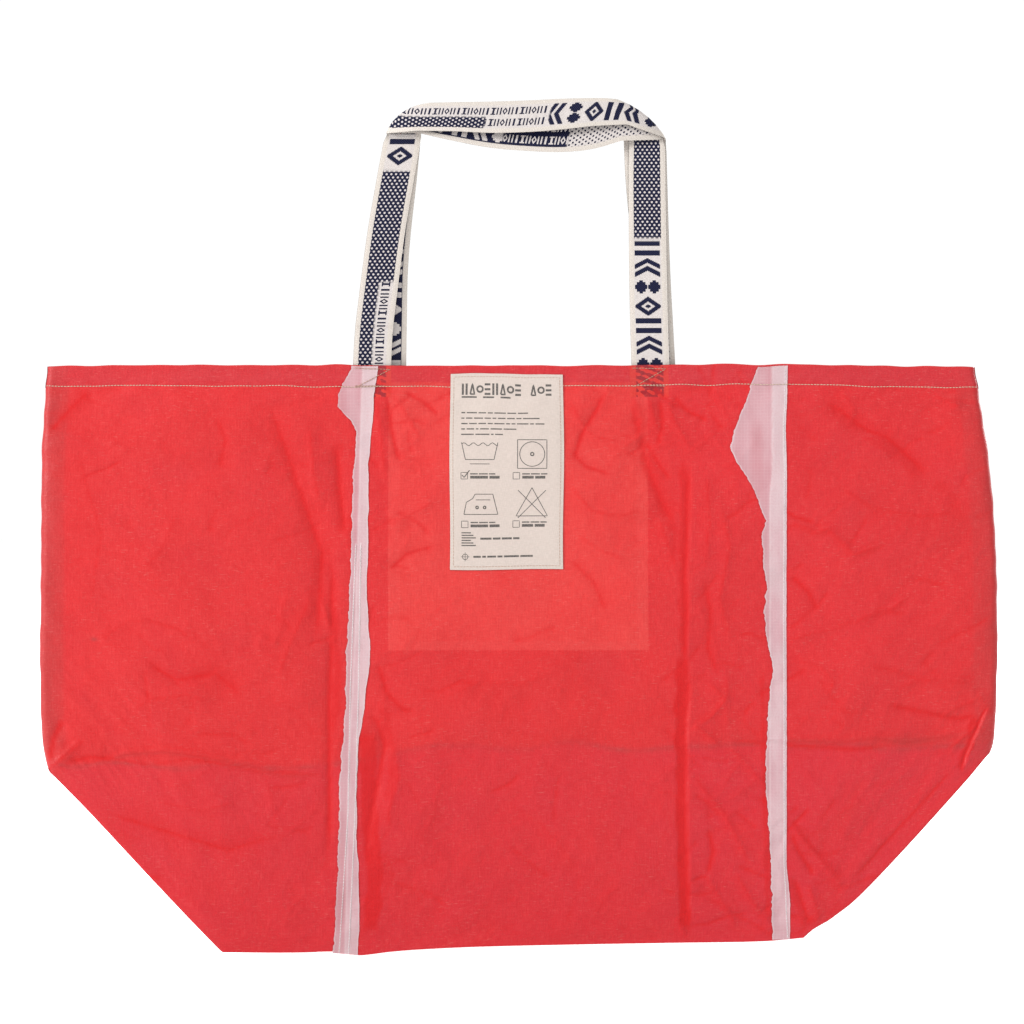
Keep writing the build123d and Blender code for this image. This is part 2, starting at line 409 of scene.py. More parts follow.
def webbing(name, inverse):
    """Jacquard tape: navy on cream with plain cream edges. Tint says which motif is woven where."""
    n = Nodes(name)
    u, v, vector = n.uv()
    dotted, small, large = n.tint()
    # the loom works in steps, so shapes have stepped edges
    su, sv = n.math("SNAP", u, 0.7), n.math("SNAP", v, 0.7)
    # staggered pale dots on navy
    odd = n.math("PINGPONG", n.floor(v, 2.6), 1.0) * 1.9
    across, along = n.math("PINGPONG", u + odd, 1.9), abs(v % 2.6 - 1.3)
    dots = n.ramp((across / 0.85) ** 2.0 + (along / 0.80) ** 2.0, 0.75, 1.35)
    # large woven shapes, one to a 15.4 mm step: nested lozenge, double bar, double arrow, stepped peaks
    cell = n.floor(sv, 15.4)
    from_middle = sv - cell * 15.4 - 7.7
    above, beside = abs(from_middle), abs(su)
    nested = above / 7.4 + beside / 10.8
    lozenge = n.between(nested, 0.50, 1.06, 0.05) + n.between(nested, -1, 0.24, 0.05)
    bars = n.between(abs(above - 3.9), -1, 2.2, 0.2)
    slant = from_middle + 4.6 - beside * 0.5
    arrow = n.between(slant, -3.0, 1.0, 0.2) + n.between(slant, 3.2, 7.2, 0.2)
    peaks = n.ramp(n.math("SNAP", n.math("PINGPONG", su, 5.2) + 1.6, 1.8) - above, -0.1, 0.1)
    shapes = n.pick(cell % 4.0, (lozenge, bars, arrow, peaks)) * n.between(beside, -1, 10.4, 0.3)
    # small marks in two lanes, one to a 4.6 mm step: single bars, pairs and small lozenges
    reach, step = abs(abs(u) - 5.4), n.floor(v, 4.6)
    off = abs(v - step * 4.6 - 2.3)
    single = n.between(off, -1, 0.80, 0.2)
    pair = n.between(abs(off - 1.3), -1, 0.58, 0.2)
    small_lozenge = n.between(off / 2.0 + reach / 3.4, 0.48, 1.05, 0.1)
    caps = n.math("MAXIMUM", single, n.between(reach, 2.3, 3.4, 0.2) * n.between(off, -1, 1.9, 0.2))
    marks = n.pick(step * 7.0 % 5.0, (pair, single, small_lozenge, caps, pair))
    marks = marks * n.between(reach, -1, 3.4, 0.2)
    navy = n.math("ADD", dots * dotted + marks * small, shapes * large, clamp=True)
    middle = n.between(abs(u), -1, 11.0, 0.4)
    if inverse:
        navy = n.math("SUBTRACT", 1.0, navy, clamp=True)
    navy = navy * middle
    yarn = n.ramp(n.noise(vector, 500, 2600, 1.0), 0.3, 0.7)
    cream = n.mix(yarn, srgb(224, 214, 210), srgb(240, 233, 229))
    edge_cream = n.mix(yarn, srgb(230, 219, 208), srgb(242, 234, 225))
    twill = n.math("SINE", (u * 0.8 + v) * 3.9)
    blue = n.mix(n.ramp(twill, -0.6, 1.0), srgb(10, 12, 36), srgb(40, 44, 82))
    n.colour = n.mix(navy, n.mix(middle, edge_cream, cream), blue)
    rib, cross = n.math("SINE", v * 5.2), n.math("SINE", u * 6.3)
    n.coat(n.ramp(cross, 0.2, 1.0, 0.0, 0.16) * n.math("SUBTRACT", 1.0, navy), 196, 188, 190)
    height = rib * 0.4 + cross * 0.3 + navy * 1.1
    return n.finish(0.8, n.bump(height, 0.3, 0.0003), specular=0.1)


def ink(name):
    n = Nodes(name)
    worn = n.noise(n.uv()[2], 900, 900)
    n.colour = n.mix(n.ramp(worn, 0.35, 0.75), srgb(92, 88, 86), srgb(136, 128, 122))
    return n.finish(0.8, n.bump(worn, 0.3, 0.0001), specular=0.2)


RED = ripstop("ripstop_front", True)
RED_PLAIN = ripstop("ripstop_plain", False)
COTTON = cotton("label_cotton", srgb(231, 216, 206))
TAN = thread("thread_tan", srgb(214, 168, 138))
PALE = thread("thread_pale", srgb(240, 208, 180))
WHITE = thread("thread_white", srgb(255, 246, 246))
STRIP = strip_cloth("strip_cloth")
TAPE_OUT = webbing("webbing_face", False)
TAPE_IN = webbing("webbing_reverse", True)
TAPE_EDGE = cotton("webbing_selvage", srgb(236, 226, 214), 0.8)
INK = ink("label_ink")

# ---------------------------------------------------------------- the cloth of the two faces
STEP = 1.75 * MM
columns = 2 * round(WIDE / STEP) + 1
rows = round(RIM / STEP) + 1
SHAPE = (columns, rows)
u_line = np.linspace(-WIDE, WIDE, columns)
t_line = np.linspace(0, 1, rows)
LOW = np.maximum(0, np.abs(u_line) - HALF)[:, None]   # the lower edge, with the corners cut off
U = np.repeat(u_line[:, None], rows, 1)
V = LOW + (RIM - LOW) * t_line
u_mm, v_mm = U * 1000, V * 1000


def field(wavelength, seed, stretch=1.0):
    """Noise over a face, with the wavelength in mm."""
    return noise_field(SHAPE, STEP * 1000, wavelength, seed, stretch)


# How the cut cloth lies: (flat x, flat z, shift in x, shift in z), in mm
LIE = np.array([
    (-377.5, 465, 3, -1.3), (-377.5, 400, -1, 0), (-377.5, 300, -2, 0), (-377.5, 200, -2.4, 0),
    (-377.5, 160, 0.4, -1), (-377.5, 145, 3.5, -1), (-305, 72, 0.2, 0), (-233, 0, -2, -1.0),
    (-200, 0, 0, -1.4), (-165, 0, 0, -1.0), (-145, 0, 0, -0.6), (-127, 0, 0, -3.4), (-106, 0, 0, -1.2),
    (-80, 0, 0, 1), (-40, 0, 0, 3), (40, 0, 0, 5.0), (133, 0, 0, 6.6), (200, 0, 0, 8),
    (233, 0, -6, 10.5), (240, 7, -5, 10.5), (247, 14, -1, 9.8), (254, 21, 0.8, 9.2), (262, 29, 0.9, 7.2),
    (280, 47, 1.0, 6.4), (300, 67, 0.6, 7.0), (320, 87, 0.1, 8.2), (340, 107, -0.4, 9.9),
    (360, 127, -0.9, 12.0),
    (377.5, 145, -1.2, 13.6), (377.5, 160, 0.4, 4), (377.5, 200, 3.2, 0),
    (377.5, 260, 4.0, 0), (377.5, 310, 2.9, 0), (377.5, 358, 0.3, 0), (377.5, 400, -4.4, 0),
    (377.5, 465, -14, -2.0), (300, 465, -7, -1.3), (200, 465, -2, 0), (0, 465, 0, -1.2), (-200, 465, 1, -0.6),
    (0, 232, 0, 0), (-200, 232, 0, 0), (200, 232, 0, 0), (-100, 350, 0, 0), (120, 350, 0, 0),
    (300, 250, 0, 0),
])


def warp_terms(points):
    """The terms of a thin plate through LIE, at points in mm."""
    squared = ((points[:, None] - LIE[None, :, :2]) ** 2).sum(-1)
    return np.hstack([squared * np.log(squared + 1e-9) / 2, np.ones((len(points), 1)), points])


at_lie = warp_terms(LIE[:, :2])
level = np.hstack([at_lie[:, len(LIE):].T, np.zeros((3, 3))])
WARP = np.linalg.solve(np.vstack([at_lie, level]), np.vstack([LIE[:, 2:], np.zeros((3, 2))]))


def lie_of_cloth(u, v):
    """Where flat points (metres) end up in x and z."""
    flat = np.stack([u, v], -1).reshape(-1, 2) * 1000
    laid = (flat + warp_terms(flat) @ WARP) / 1000
    return laid[:, 0].reshape(u.shape), laid[:, 1].reshape(u.shape)


def flat_of(x, z):
    """The flat point that ends up at x and z."""
    u, v = x, z
    for _ in range(4):
        laid_x, laid_z = lie_of_cloth(u, v)
        u, v = u + x - laid_x, v + z - laid_z
    return u, v


X, Z = lie_of_cloth(U, V)
# the cut edges are never quite straight
uneven = field(38, 404)
Z += 0.6 * MM * uneven * smooth(0.40, 0.46, V)
X += 0.45 * MM * np.sign(U) * uneven * smooth(0.33, 0.375, np.abs(U))
x_mm, z_mm = X * 1000, Z * 1000

# Where the edge of the folded base presses through the front
BASE_EDGE_LEFT = [
    (-341, 148), (-326, 150), (-311, 157), (-281, 159), (-255, 156), (-215, 148), (-189, 140), (-156, 141),
]
BASE_EDGE_RIGHT = [(167, 171), (214, 168), (250, 166), (280, 169), (310, 166), (350, 172), (362, 179)]
# Creases on the front: (points in mm, width, height). Each is a ridge or, below 0, a groove, where
# it is not called a fold (a step in height) or a tuck (one side laps over the other).
CREASES = [
    # wavy edge of the folded base, from the left corner across to the right
    (BASE_EDGE_LEFT, 1.8, 1.2),
    ([(-126, 172), (-100, 168), (-50, 164), (20, 166), (70, 170), (122, 160)], 5.0, 0.45, "fold"),
    (BASE_EDGE_RIGHT, 2.0, 1.2),
    ([(166, 168), (197, 165), (224, 163), (264, 160), (300, 164)], 2.0, -0.9),
    ([(166, 222), (165, 200), (166, 176)], 2.4, 0.8),
    # the long tuck right of the middle
    ([(93, 436), (97, 405), (102, 386), (114, 356), (123, 337)], 6.0, -1.8),
    ([(137, 392), (136, 340), (134, 300), (135, 270), (133, 215)], 4.5, 0.9, "tuck"),
    ([(136, 235), (136, 200), (134, 181), (134, 120), (135, 60), (136, 30), (137, 8)], 8.0, 1.3, "tuck"),
    ([(126, 28), (130, 18), (136, 8)], 2.0, 1.4),
    ([(138, 181), (150, 172), (160, 163)], 2.6, 1.5),
    ([(112, 345), (120, 320), (128, 300)], 5.0, 1.0),
    ([(150, 380), (152, 340), (148, 300)], 6.0, 1.1),
    ([(146, 300), (152, 270), (150, 240), (160, 215)], 5.0, -0.9),
    ([(98, 410), (112, 385), (122, 372)], 3.0, -1.0),
    # puckers beside the left strip
    ([(-200, 440), (-186, 403), (-176, 373), (-156, 317), (-158, 270), (-162, 240)], 8.5, -2.4),
    ([(-144, 405), (-142, 370), (-139, 345), (-136, 330)], 5.0, -2.0),
    ([(-150, 330), (-147, 290), (-150, 200), (-150, 110), (-152, 60)], 4.0, -1.7),
    ([(-158, 285), (-150, 262), (-146, 240)], 2.6, 1.6),
    ([(-160, 290), (-172, 262), (-182, 240), (-190, 215)], 7.0, 1.1),
    ([(-165, 420), (-162, 380), (-156, 350)], 5.0, 1.3),
    ([(-122, 195), (-112, 182), (-106, 165), (-112, 130), (-118, 100), (-122, 60)], 6.0, -2.2),
    ([(-100, 170), (-94, 140), (-102, 110), (-100, 90)], 6.0, 1.3),
    ([(-112, 230), (-104, 205), (-92, 192), (-80, 190)], 4.0, -1.0),
    # pulls that start at the strap tails and the label
    ([(-98, 442), (-88, 425), (-76, 405)], 3.2, 1.0),
    ([(-104, 440), (-101, 415), (-94, 385)], 3.0, -1.2),
    ([(-112, 438), (-108, 405), (-104, 370)], 3.5, 0.9),
    ([(-92, 444), (-76, 436), (-62, 424)], 3.0, -0.9),
    ([(-100, 340), (-86, 346), (-66, 357)], 3.4, 0.9),
    ([(-104, 300), (-88, 315), (-64, 322)], 4.4, -0.8),
    ([(40, 440), (50, 420), (60, 408), (84, 404)], 4.0, 1.3),
    ([(70, 446), (62, 430), (50, 410), (42, 385)], 3.5, -1.2),
    ([(92, 440), (98, 420), (94, 400)], 3.0, 1.3),
    ([(118, 440), (124, 420), (138, 396)], 3.4, 1.3),
    ([(122, 442), (134, 428), (152, 420)], 3.0, -1.1),
    ([(104, 442), (108, 420), (118, 402)], 3.0, 1.1),
    ([(112, 440), (114, 420), (110, 398)], 2.6, -1.0),
    ([(48, 330), (66, 318), (88, 310)], 5.0, 0.8),
    ([(40, 372), (58, 350), (80, 345), (100, 352)], 6.0, 1.1),
    ([(40, 398), (54, 384), (74, 378)], 3.0, -0.8),
    ([(40, 312), (60, 292), (70, 268)], 6.0, -0.7),
    # the right of the front
    ([(238, 440), (260, 425), (278, 412), (292, 408), (316, 386), (326, 372)], 9.0, -2.3),
    ([(256, 446), (266, 430), (262, 415)], 2.6, 0.9),
    ([(330, 441), (344, 436), (352, 430)], 2.6, 0.9),
    ([(214, 342), (237, 333), (247, 335), (267, 315), (293, 324)], 2.0, 1.3),
    ([(208, 352), (220, 344), (236, 340)], 2.2, -0.9),
    ([(266, 262), (282, 268), (296, 272), (310, 282)], 2.2, 1.1),
    ([(214, 246), (232, 252), (262, 258)], 3.0, 0.8),
    ([(250, 372), (280, 352), (320, 345), (355, 350)], 6.0, 1.2),
    ([(214, 300), (230, 285), (238, 268)], 4.0, -1.0),
    ([(300, 210), (330, 216), (362, 212)], 3.4, 1.2),
    ([(290, 196), (320, 190), (350, 184), (368, 188)], 2.6, -1.0),
    ([(160, 360), (168, 320), (160, 280), (170, 240)], 5.0, 1.2),
    ([(150, 215), (165, 200), (152, 185), (140, 178)], 3.0, 1.4),
    ([(222, 230), (240, 226), (250, 214), (246, 200)], 3.0, 0.9),
    # lower right, drawn towards the bottom corner
    ([(213, 105), (226, 88), (250, 62), (263, 45)], 2.2, 1.4),
    ([(215, 96), (222, 80), (236, 58)], 3.0, -0.9),
    ([(218, 60), (226, 36), (232, 18)], 2.4, -1.3),
    ([(230, 54), (238, 32), (240, 20)], 2.6, 1.5),
    ([(139, 138), (164, 108), (178, 82), (184, 68)], 2.2, 1.2),
    ([(148, 62), (158, 46), (170, 26), (174, 16)], 2.2, 1.1),
    ([(172, 64), (186, 40), (200, 20)], 2.2, 1.1),
    ([(166, 164), (184, 145), (198, 128)], 2.2, 0.9),
    ([(150, 100), (154, 80), (150, 60)], 4.0, -0.9),
    ([(262, 36), (254, 32), (246, 30)], 2.0, 1.8),
    ([(262, 52), (290, 84), (320, 116), (350, 150)], 3.0, -0.8),
    # the pinched lower right corner
    ([(374, 196), (365, 176), (356, 156), (352, 140)], 2.6, 1.6, "tuck"),
    ([(364, 205), (374, 192), (378, 186)], 2.6, 1.4),
    ([(340, 160), (356, 172), (366, 180)], 3.4, 1.2),
    ([(336, 186), (350, 194), (366, 200)], 3.0, 1.0),
    # the pinched lower left corner
    ([(-376, 142), (-362, 152), (-352, 162), (-345, 168)], 2.2, 1.8),
    ([(-372, 150), (-368, 170), (-360, 186)], 3.0, -1.3),
    ([(-358, 150), (-340, 154), (-318, 153)], 2.2, -1.3),
    # broad soft waves on the left
    ([(-340, 446), (-356, 430), (-374, 410)], 7.0, -1.4),
    ([(-350, 400), (-330, 330), (-340, 270)], 14.0, 0.9),
    ([(-240, 425), (-232, 405), (-238, 380)], 6.0, -0.8),
    ([(-300, 230), (-270, 215), (-240, 220), (-215, 200)], 10.0, -1.1),
    ([(-310, 190), (-290, 200), (-262, 204), (-240, 196)], 5.0, 0.9),
    ([(-330, 110), (-280, 95), (-230, 80), (-180, 95)], 9.0, -0.9),
    ([(-290, 120), (-250, 112), (-220, 120)], 5.0, 0.7),
    ([(-300, 300), (-282, 320), (-270, 350)], 8.0, 0.7),
    ([(-335, 245), (-310, 262), (-290, 262)], 5.0, 0.8),
    ([(-60, 200), (-30, 215), (0, 212), (30, 222)], 5.0, 0.7),
    ([(-10, 120), (20, 100), (52, 60)], 5.0, 0.6),
]

# Painted shade: where the cloth lies double or close to the layer behind, in puckers and beside folds and
# strips,
# a deeper red is painted in bands: (points in mm, half width, how deep)
DEEP_SHADE = [
    ([(-120, 178), (-118, 150), (-117, 100), (-114, 60), (-116, 12)], 6.5, 0.85),
    ([(-108, 196), (-102, 170), (-99, 140), (-104, 118)], 3.6, 0.5),
    ([(-106, 80), (-102, 60), (-108, 40)], 3.0, 0.35),
    ([(-143, 405), (-141, 360), (-139, 330)], 4.0, 0.5),
    ([(-147, 300), (-145, 250), (-143, 215), (-148, 170)], 3.6, 0.65),
    ([(-152, 330), (-158, 300), (-166, 262)], 5.0, 0.35),
    ([(131.5, 392), (130, 330), (130, 235)], 2.8, 0.65),
    ([(129.5, 240), (128.5, 180), (129.5, 100), (131.5, 40), (133, 12)], 4.2, 1.0),
    ([(93, 436), (97, 405), (102, 386), (114, 356), (124, 330)], 4.5, 0.55),
    ([(108, 385), (118, 360), (132, 344)], 3.0, 0.35),
    ([(245, 440), (262, 425), (283, 408), (300, 400), (322, 376)], 7.0, 0.38),
    ([(330, 372), (345, 360), (352, 340)], 4.0, 0.25),
    ([(-196, 425), (-184, 400), (-174, 375), (-158, 320), (-150, 290)], 7.0, 0.32),
    ([(-132, 300), (-131, 330), (-135, 345)], 1.4, 0.6),
    ([(193, 225), (195, 150), (196, 100), (199, 20)], 1.8, 0.6),
    ([(216, 105), (232, 84), (256, 56)], 1.6, 0.6),
    ([(140, 138), (165, 108), (184, 68)], 1.6, 0.45),
    ([(216, 60), (222, 36), (228, 16)], 2.2, 0.55),
    ([(363, 186), (358, 166), (350, 144)], 3.2, 0.8),
    ([(-366, 150), (-352, 160), (-344, 168)], 1.5, 0.6),
    ([(214, 340), (237, 331), (247, 333), (267, 313), (293, 322)], 1.3, 0.55),
    ([(266, 260), (282, 266), (296, 270), (310, 280)], 1.3, 0.45),
    ([(-352, 149), (-322, 153), (-290, 148), (-262, 153), (-240, 150), (-205, 143), (-150, 139)], 1.2, 0.55),
    ([(-340, 446), (-356, 430), (-374, 408)], 4.0, 0.3),
]


def crease_height(creases):
    """Height (mm) and painted shadow of a list of creases over a face."""
    height, shadow = np.zeros(SHAPE), np.zeros(SHAPE)
    for points, width, tall, *kind in creases:
        d, side, along = polyline_distance(x_mm, z_mm, points)
        ends = fading(along, 0.18)
        if not kind:
            height += tall * ends * np.exp(-np.sqrt((d / width) ** 2 + 0.02))
            # painted shade along each crease: a thin line, one flank, and a broad band along grooves
            flank = np.where(side * tall > 0, 0, 0.26 * np.exp(-d / (width * 1.1)))
            broad = 0.22 * bell(d, width * 0.9) if tall < 0 else 0
            dark = np.minimum(1, abs(tall)) * (0.40 * bell(d, 1.3) + flank + broad)
        elif kind == ["fold"]:
            height += tall * ends * np.tanh(side / width) * np.exp(-d / 40)
            dark = 0
        else:
            # the cloth on one side laps over the other, with painted shade in the gap under the lap
            beside = bell(np.maximum(0, d - np.abs(side)), width)
            lap = smooth(-1.2, 1.2, side) * np.exp(-np.maximum(side, 0) / (width * 2.2)) * beside
            dark = smooth(-width - 1.5, -width + 1.5, side) * smooth(1.0, -0.8, side) * beside
            height += tall * ends * (lap - 0.35 * dark)
        shadow = np.maximum(shadow, ends * dark)
    return height, shadow


def random_creases(count, seed, x_range, z_range, strength=1.0):
    rng = np.random.default_rng(seed)
    made = []
    for _ in range(count):
        x = rng.uniform(*x_range)
        z = rng.uniform(*z_range)
        heading = rng.choice([0.3, 0.9, 2.2, 2.8]) + rng.normal(0, 0.35)
        length = rng.uniform(14, 55)
        points = [(x, z)]
        for _ in range(3):
            heading += rng.normal(0, 0.28)
            x += length / 3 * math.cos(heading)
            z += length / 3 * math.sin(heading)
            points.append((x, z))
        tall = rng.choice([-1, 1]) * rng.uniform(0.15, 0.5) * strength
        made.append((points, rng.uniform(1.2, 4.0), tall))
    return made


# Where the front is crumpled most: (number of creases, x from and to, z from and to, strength)
CRUMPLED = [
    (30, (40, 190), (380, 446), 1.3), (22, (-112, -62), (300, 446), 1.1), (50, (110, 210), (10, 380), 1.2),
    (50, (210, 370), (40, 430), 1.0), (26, (150, 260), (10, 120), 1.5), (24, (-130, -70), (60, 300), 1.1),
    (24, (-210, -150), (80, 440), 1.2),
]


def face_relief(seed, creases, random_count, crumpled, puff):
    """How far (mm) the cloth of one face stands out from its plane, and its painted shadow."""
    height, shadow = crease_height(creases)
    groups = [random_creases(random_count, seed, (-370, 370), (5, 440))]
    groups += [random_creases(count, seed + count, *where) for count, *where in crumpled]
    for group in groups:
        extra, faint = crease_height(group)
        height += extra
        shadow = np.maximum(shadow, faint)
    for wavelength, tall, extra_seed in ((190, 1.3, 1), (90, 0.7, 2), (42, 0.40, 3)):
        height += tall * field(wavelength, seed + extra_seed)
    for wavelength, tall, extra_seed in ((30, 0.30, 7), (13, 0.11, 8)):
        height += tall * (1 - np.abs(field(wavelength, seed + extra_seed)))
    height += puff * smooth(0, 120, np.minimum(WIDE - np.abs(U), V - LOW) * 1000)
    return height, shadow


def rounded(distance, radius):
    """1 at an edge, falling in a quarter circle to 0 at the radius."""
    return 1 - np.sqrt(np.clip(1 - (1 - np.clip(distance / radius, 0, 1)) ** 2, 0, 1))


def face_points(face, relief):
    """The face's points: outward is -1 for the front and 1 for the back."""
    outward, plane = OUTWARD[face], PLANES[face]
    past_fold = np.abs(u_mm) - HALF * 1000
    side = WIDE * 1000 - np.abs(u_mm)
    diagonal = (v_mm - past_fold) / math.sqrt(2)
    # flat at the folded edges, and half flat at the rim
    taper = smooth(0, 12, side) * smooth(0, 12, diagonal) * smooth(0, 14, v_mm)
    taper = taper * (1 - 0.65 * smooth(446, 462, v_mm))
    y = plane + outward * np.maximum(relief, -0.4) * taper * MM
    # towards the outer edges the two faces close on each other
    closing = rounded(side, 6)
    y = y + (Y_MIDDLE + outward * 0.25 * MM - y) * closing
    # on the diagonal they meet the corner flap
    meet = rounded(diagonal, 3) * (past_fold > 0) * (1 - closing)
    y = y + (plane - outward * 0.55 * MM - y) * meet
    return np.stack([X, y, Z], -1)


front_relief, front_shadow = face_relief(11, CREASES, 110, CRUMPLED, 3.2)
# the label and the hem hold the cloth flatter
label_zone = smooth(-70, -56, u_mm) * smooth(52, 38, u_mm) * smooth(286, 304, v_mm)
front_relief = front_relief * (1 - 0.6 * label_zone) + 1.5 * label_zone
hem_pull = smooth(439, 448, v_mm) * smooth(455, 450, v_mm)
front_relief -= 0.55 * hem_pull
front_relief += 0.35 * field(14, 91, stretch=2.2) * smooth(405, 445, v_mm) * smooth(462, 448, v_mm)
back_relief, back_shadow = face_relief(37, random_creases(40, 5, (-330, 330), (20, 430), 1.8), 140, (), 1.6)
back_relief = np.clip(back_relief, -1.5, 4.0) - 0.4 * hem_pull


def with_hem(points, outward):
    """Adds the rim's small roll and the turned-in hem as more rows."""
    roll = 0.8 * MM
    low_edge, columns_at = LOW[:, 0], np.arange(columns)
    added, added_v = [], []
    for angle in np.linspace(0.25, 1.0, 4) * math.pi:
        move = (0, -outward * roll * (1 - math.cos(angle)), roll * math.sin(angle))
        added.append(points[:, -1] + np.array(move))
        added_v.append(RIM + angle / math.pi * 2.5 * MM)
    for down in np.arange(1.5, 17.6, 2.0) * MM:
        t = (RIM - down - low_edge) / (RIM - low_edge) * (rows - 1)
        low = np.floor(t).astype(int)
        part = (t - low)[:, None]
        laid = points[columns_at, low] * (1 - part) + points[columns_at, np.minimum(low + 1, rows - 1)] * part
        added.append(laid + np.array([0, -outward * 2 * roll, 0]))
        added_v.append(RIM + 2.5 * MM + down)
    uv_v = np.concatenate([V, np.tile(added_v, (columns, 1))], 1)
    uv = np.stack([np.repeat(u_line[:, None], uv_v.shape[1], 1), uv_v], -1)
    return np.concatenate([points, np.stack(added, 1)], 1), uv


def face_tint(seed, shadow, relief, front):
    """Painted layers behind the cloth, dirt, painted shade on the left edge, and painted deep shade."""
    base_top = 150 + 14 * smooth(-150, -60, x_mm) + 4 * field(90, seed)
    blotch = field(70, seed + 1)
    hem = smooth(448.0, 449.4, v_mm)
    plies = np.maximum(0.60 * smooth(3.5, -3.5, z_mm - base_top), 0.75 * hem * smooth(465, 463, v_mm))
    plies = np.clip(plies + 0.16 * blotch + 0.08 * field(22, seed + 2), 0, 1)
    inset = (WIDE - np.abs(U)) * 1000
    dirt_and_shade = 0.34 * smooth(22, 17, inset) * smooth(140, 170, z_mm)
    # darker towards both outer edges; the extra on the left (x < 0) is painted shade against the side light
    # on the rounded left edge
    dirt_and_shade = dirt_and_shade + 0.25 * smooth(16, 0, inset) + 0.22 * smooth(26, 4, inset) * (x_mm < 0)
    base_crease = bell(z_mm - base_top + 1.5, 2.2) * (0.46 + 0.32 * field(26, seed + 3))
    dirt_and_shade = np.maximum(dirt_and_shade, base_crease * (0.55 + 0.45 * (np.abs(x_mm + 30) > 90)))
    dirt_and_shade = np.clip(np.maximum(dirt_and_shade, 0.30 * hem) + 0.05 * blotch, 0, 1)
    if front:
        dirt_and_shade = np.maximum(dirt_and_shade, bell(x_mm + 336, 3.2) * bell(z_mm - 247.5, 1.6))
        for points in (BASE_EDGE_LEFT, BASE_EDGE_RIGHT):
            d, side, along = polyline_distance(x_mm, z_mm, points)
            rubbed = 0.55 * bell(d, 1.3) + 0.22 * bell(d, 4.5) * (side < 0)
            dirt_and_shade = np.maximum(dirt_and_shade, rubbed * fading(along, 0.1) * (0.75 + 0.5 * blotch))
        smudges = bell(x_mm - 322, 42) * bell(z_mm - 168, 4.5) + bell(x_mm - 180, 15) * bell(z_mm - 171, 5)
        dirt_and_shade = np.clip(dirt_and_shade + 0.42 * smudges * (0.8 + 0.5 * blotch), 0, 1)
        plies = np.clip(plies + 0.22 * smooth(100, 150, x_mm) * (1 - 0.5 * smooth(300, 360, x_mm)), 0, 1)
        waver = 1.6 * field(24, seed + 9)
        # painted shade: the deep red bands beside puckers, folds and strips
        for points, width, depth in DEEP_SHADE:
            d, _, along = polyline_distance(x_mm, z_mm, points)
            soft = min(1.4, width * 0.6)
            band = smooth(width + soft, width - soft, d + waver * min(1, width / 3))
            shadow = np.maximum(shadow, depth * fading(along, 0.06) * band)
    plies = np.maximum(plies, 0.5 * smooth(3.0, 0.5, (V - LOW) * 1000))
    # painted shade from the relief: deeper red in its hollows and on slopes turned away from the side light
    across, up = np.gradient(relief)
    hollow_shade = np.gradient(across, axis=0) + np.gradient(up, axis=1)
    hollow_shade = hollow_shade + 0.25 * np.roll(hollow_shade, 1, 0) + 0.25 * np.roll(hollow_shade, -1, 0)
    hollow_shade, slope_shade = np.clip(hollow_shade * 0.9, 0, 0.26), np.clip((across - 0.6 * up) * 0.5, 0, 0.2)
    return np.stack([plies, dirt_and_shade, np.clip(shadow + hollow_shade + slope_shade, 0, 1)], -1)


def build_face(face, points, tint, material):
    """Splits one face in three pieces that share their edge points and normals."""
    full, uv = with_hem(points, OUTWARD[face])
    colours = np.concatenate([tint, np.repeat(tint[:, -1:], full.shape[1] - rows, 1)], 1)
    colours[:, rows + 4:, 0] = 0.3
    flip = OUTWARD[face] > 0
    normals = grid_normals(full, flip)
    cuts = [0, *(int(np.argmin(np.abs(u_line - cut))) for cut in (-CUT, CUT)), columns - 1]
    for part, sign, low, high in zip(("left", "middle", "right"), (-1, 0, 1), cuts, cuts[1:]):
        span = slice(low, high + 1)
        obj = grid_object(
            f"{face}_cloth_{part}", full[span], uv[span], material, normals[span], colours[span], flip
        )
        if sign:
            stands_for = (f"side_{face}_{part}", f"side_hem_{face}_{part}")
            settle(obj, side_fold(face, part, sign), "ripstop", *stands_for)
        else:
            settle(obj, face, "ripstop", f"{face}_panel", f"{face}_hem")


front_points, back_points = face_points("front", front_relief), face_points("back", back_relief)
build_face("front", front_points, face_tint(51, front_shadow, front_relief, True), RED)
build_face("back", back_points, face_tint(67, back_shadow, back_relief, False), RED_PLAIN)


class Sampler:
    """Points and normals of a face at any flat x and z."""

    def __init__(self, points, outward):
        self.points = points
        self.normals = grid_normals(points, outward > 0)

    def at(self, u, v, lift=0.0):
        low = np.maximum(0, np.abs(u) - HALF)
        i = np.clip((u + WIDE) / (2 * WIDE) * (columns - 1), 0, columns - 1.001)
        j = np.clip((v - low) / (RIM - low) * (rows - 1), 0, rows - 1.001)
        i0, j0 = i.astype(int), j.astype(int)
        fi, fj = (i - i0)[..., None], (j - j0)[..., None]

        def mean(a):
            lower = a[i0, j0] * (1 - fi) + a[i0 + 1, j0] * fi
            upper = a[i0, j0 + 1] * (1 - fi) + a[i0 + 1, j0 + 1] * fi
            return lower * (1 - fj) + upper * fj

        n = mean(self.normals)
        n /= np.linalg.norm(n, axis=-1, keepdims=True)
        return mean(self.points) + n * lift, n


on_front, on_back = Sampler(front_points, -1), Sampler(back_points, 1)


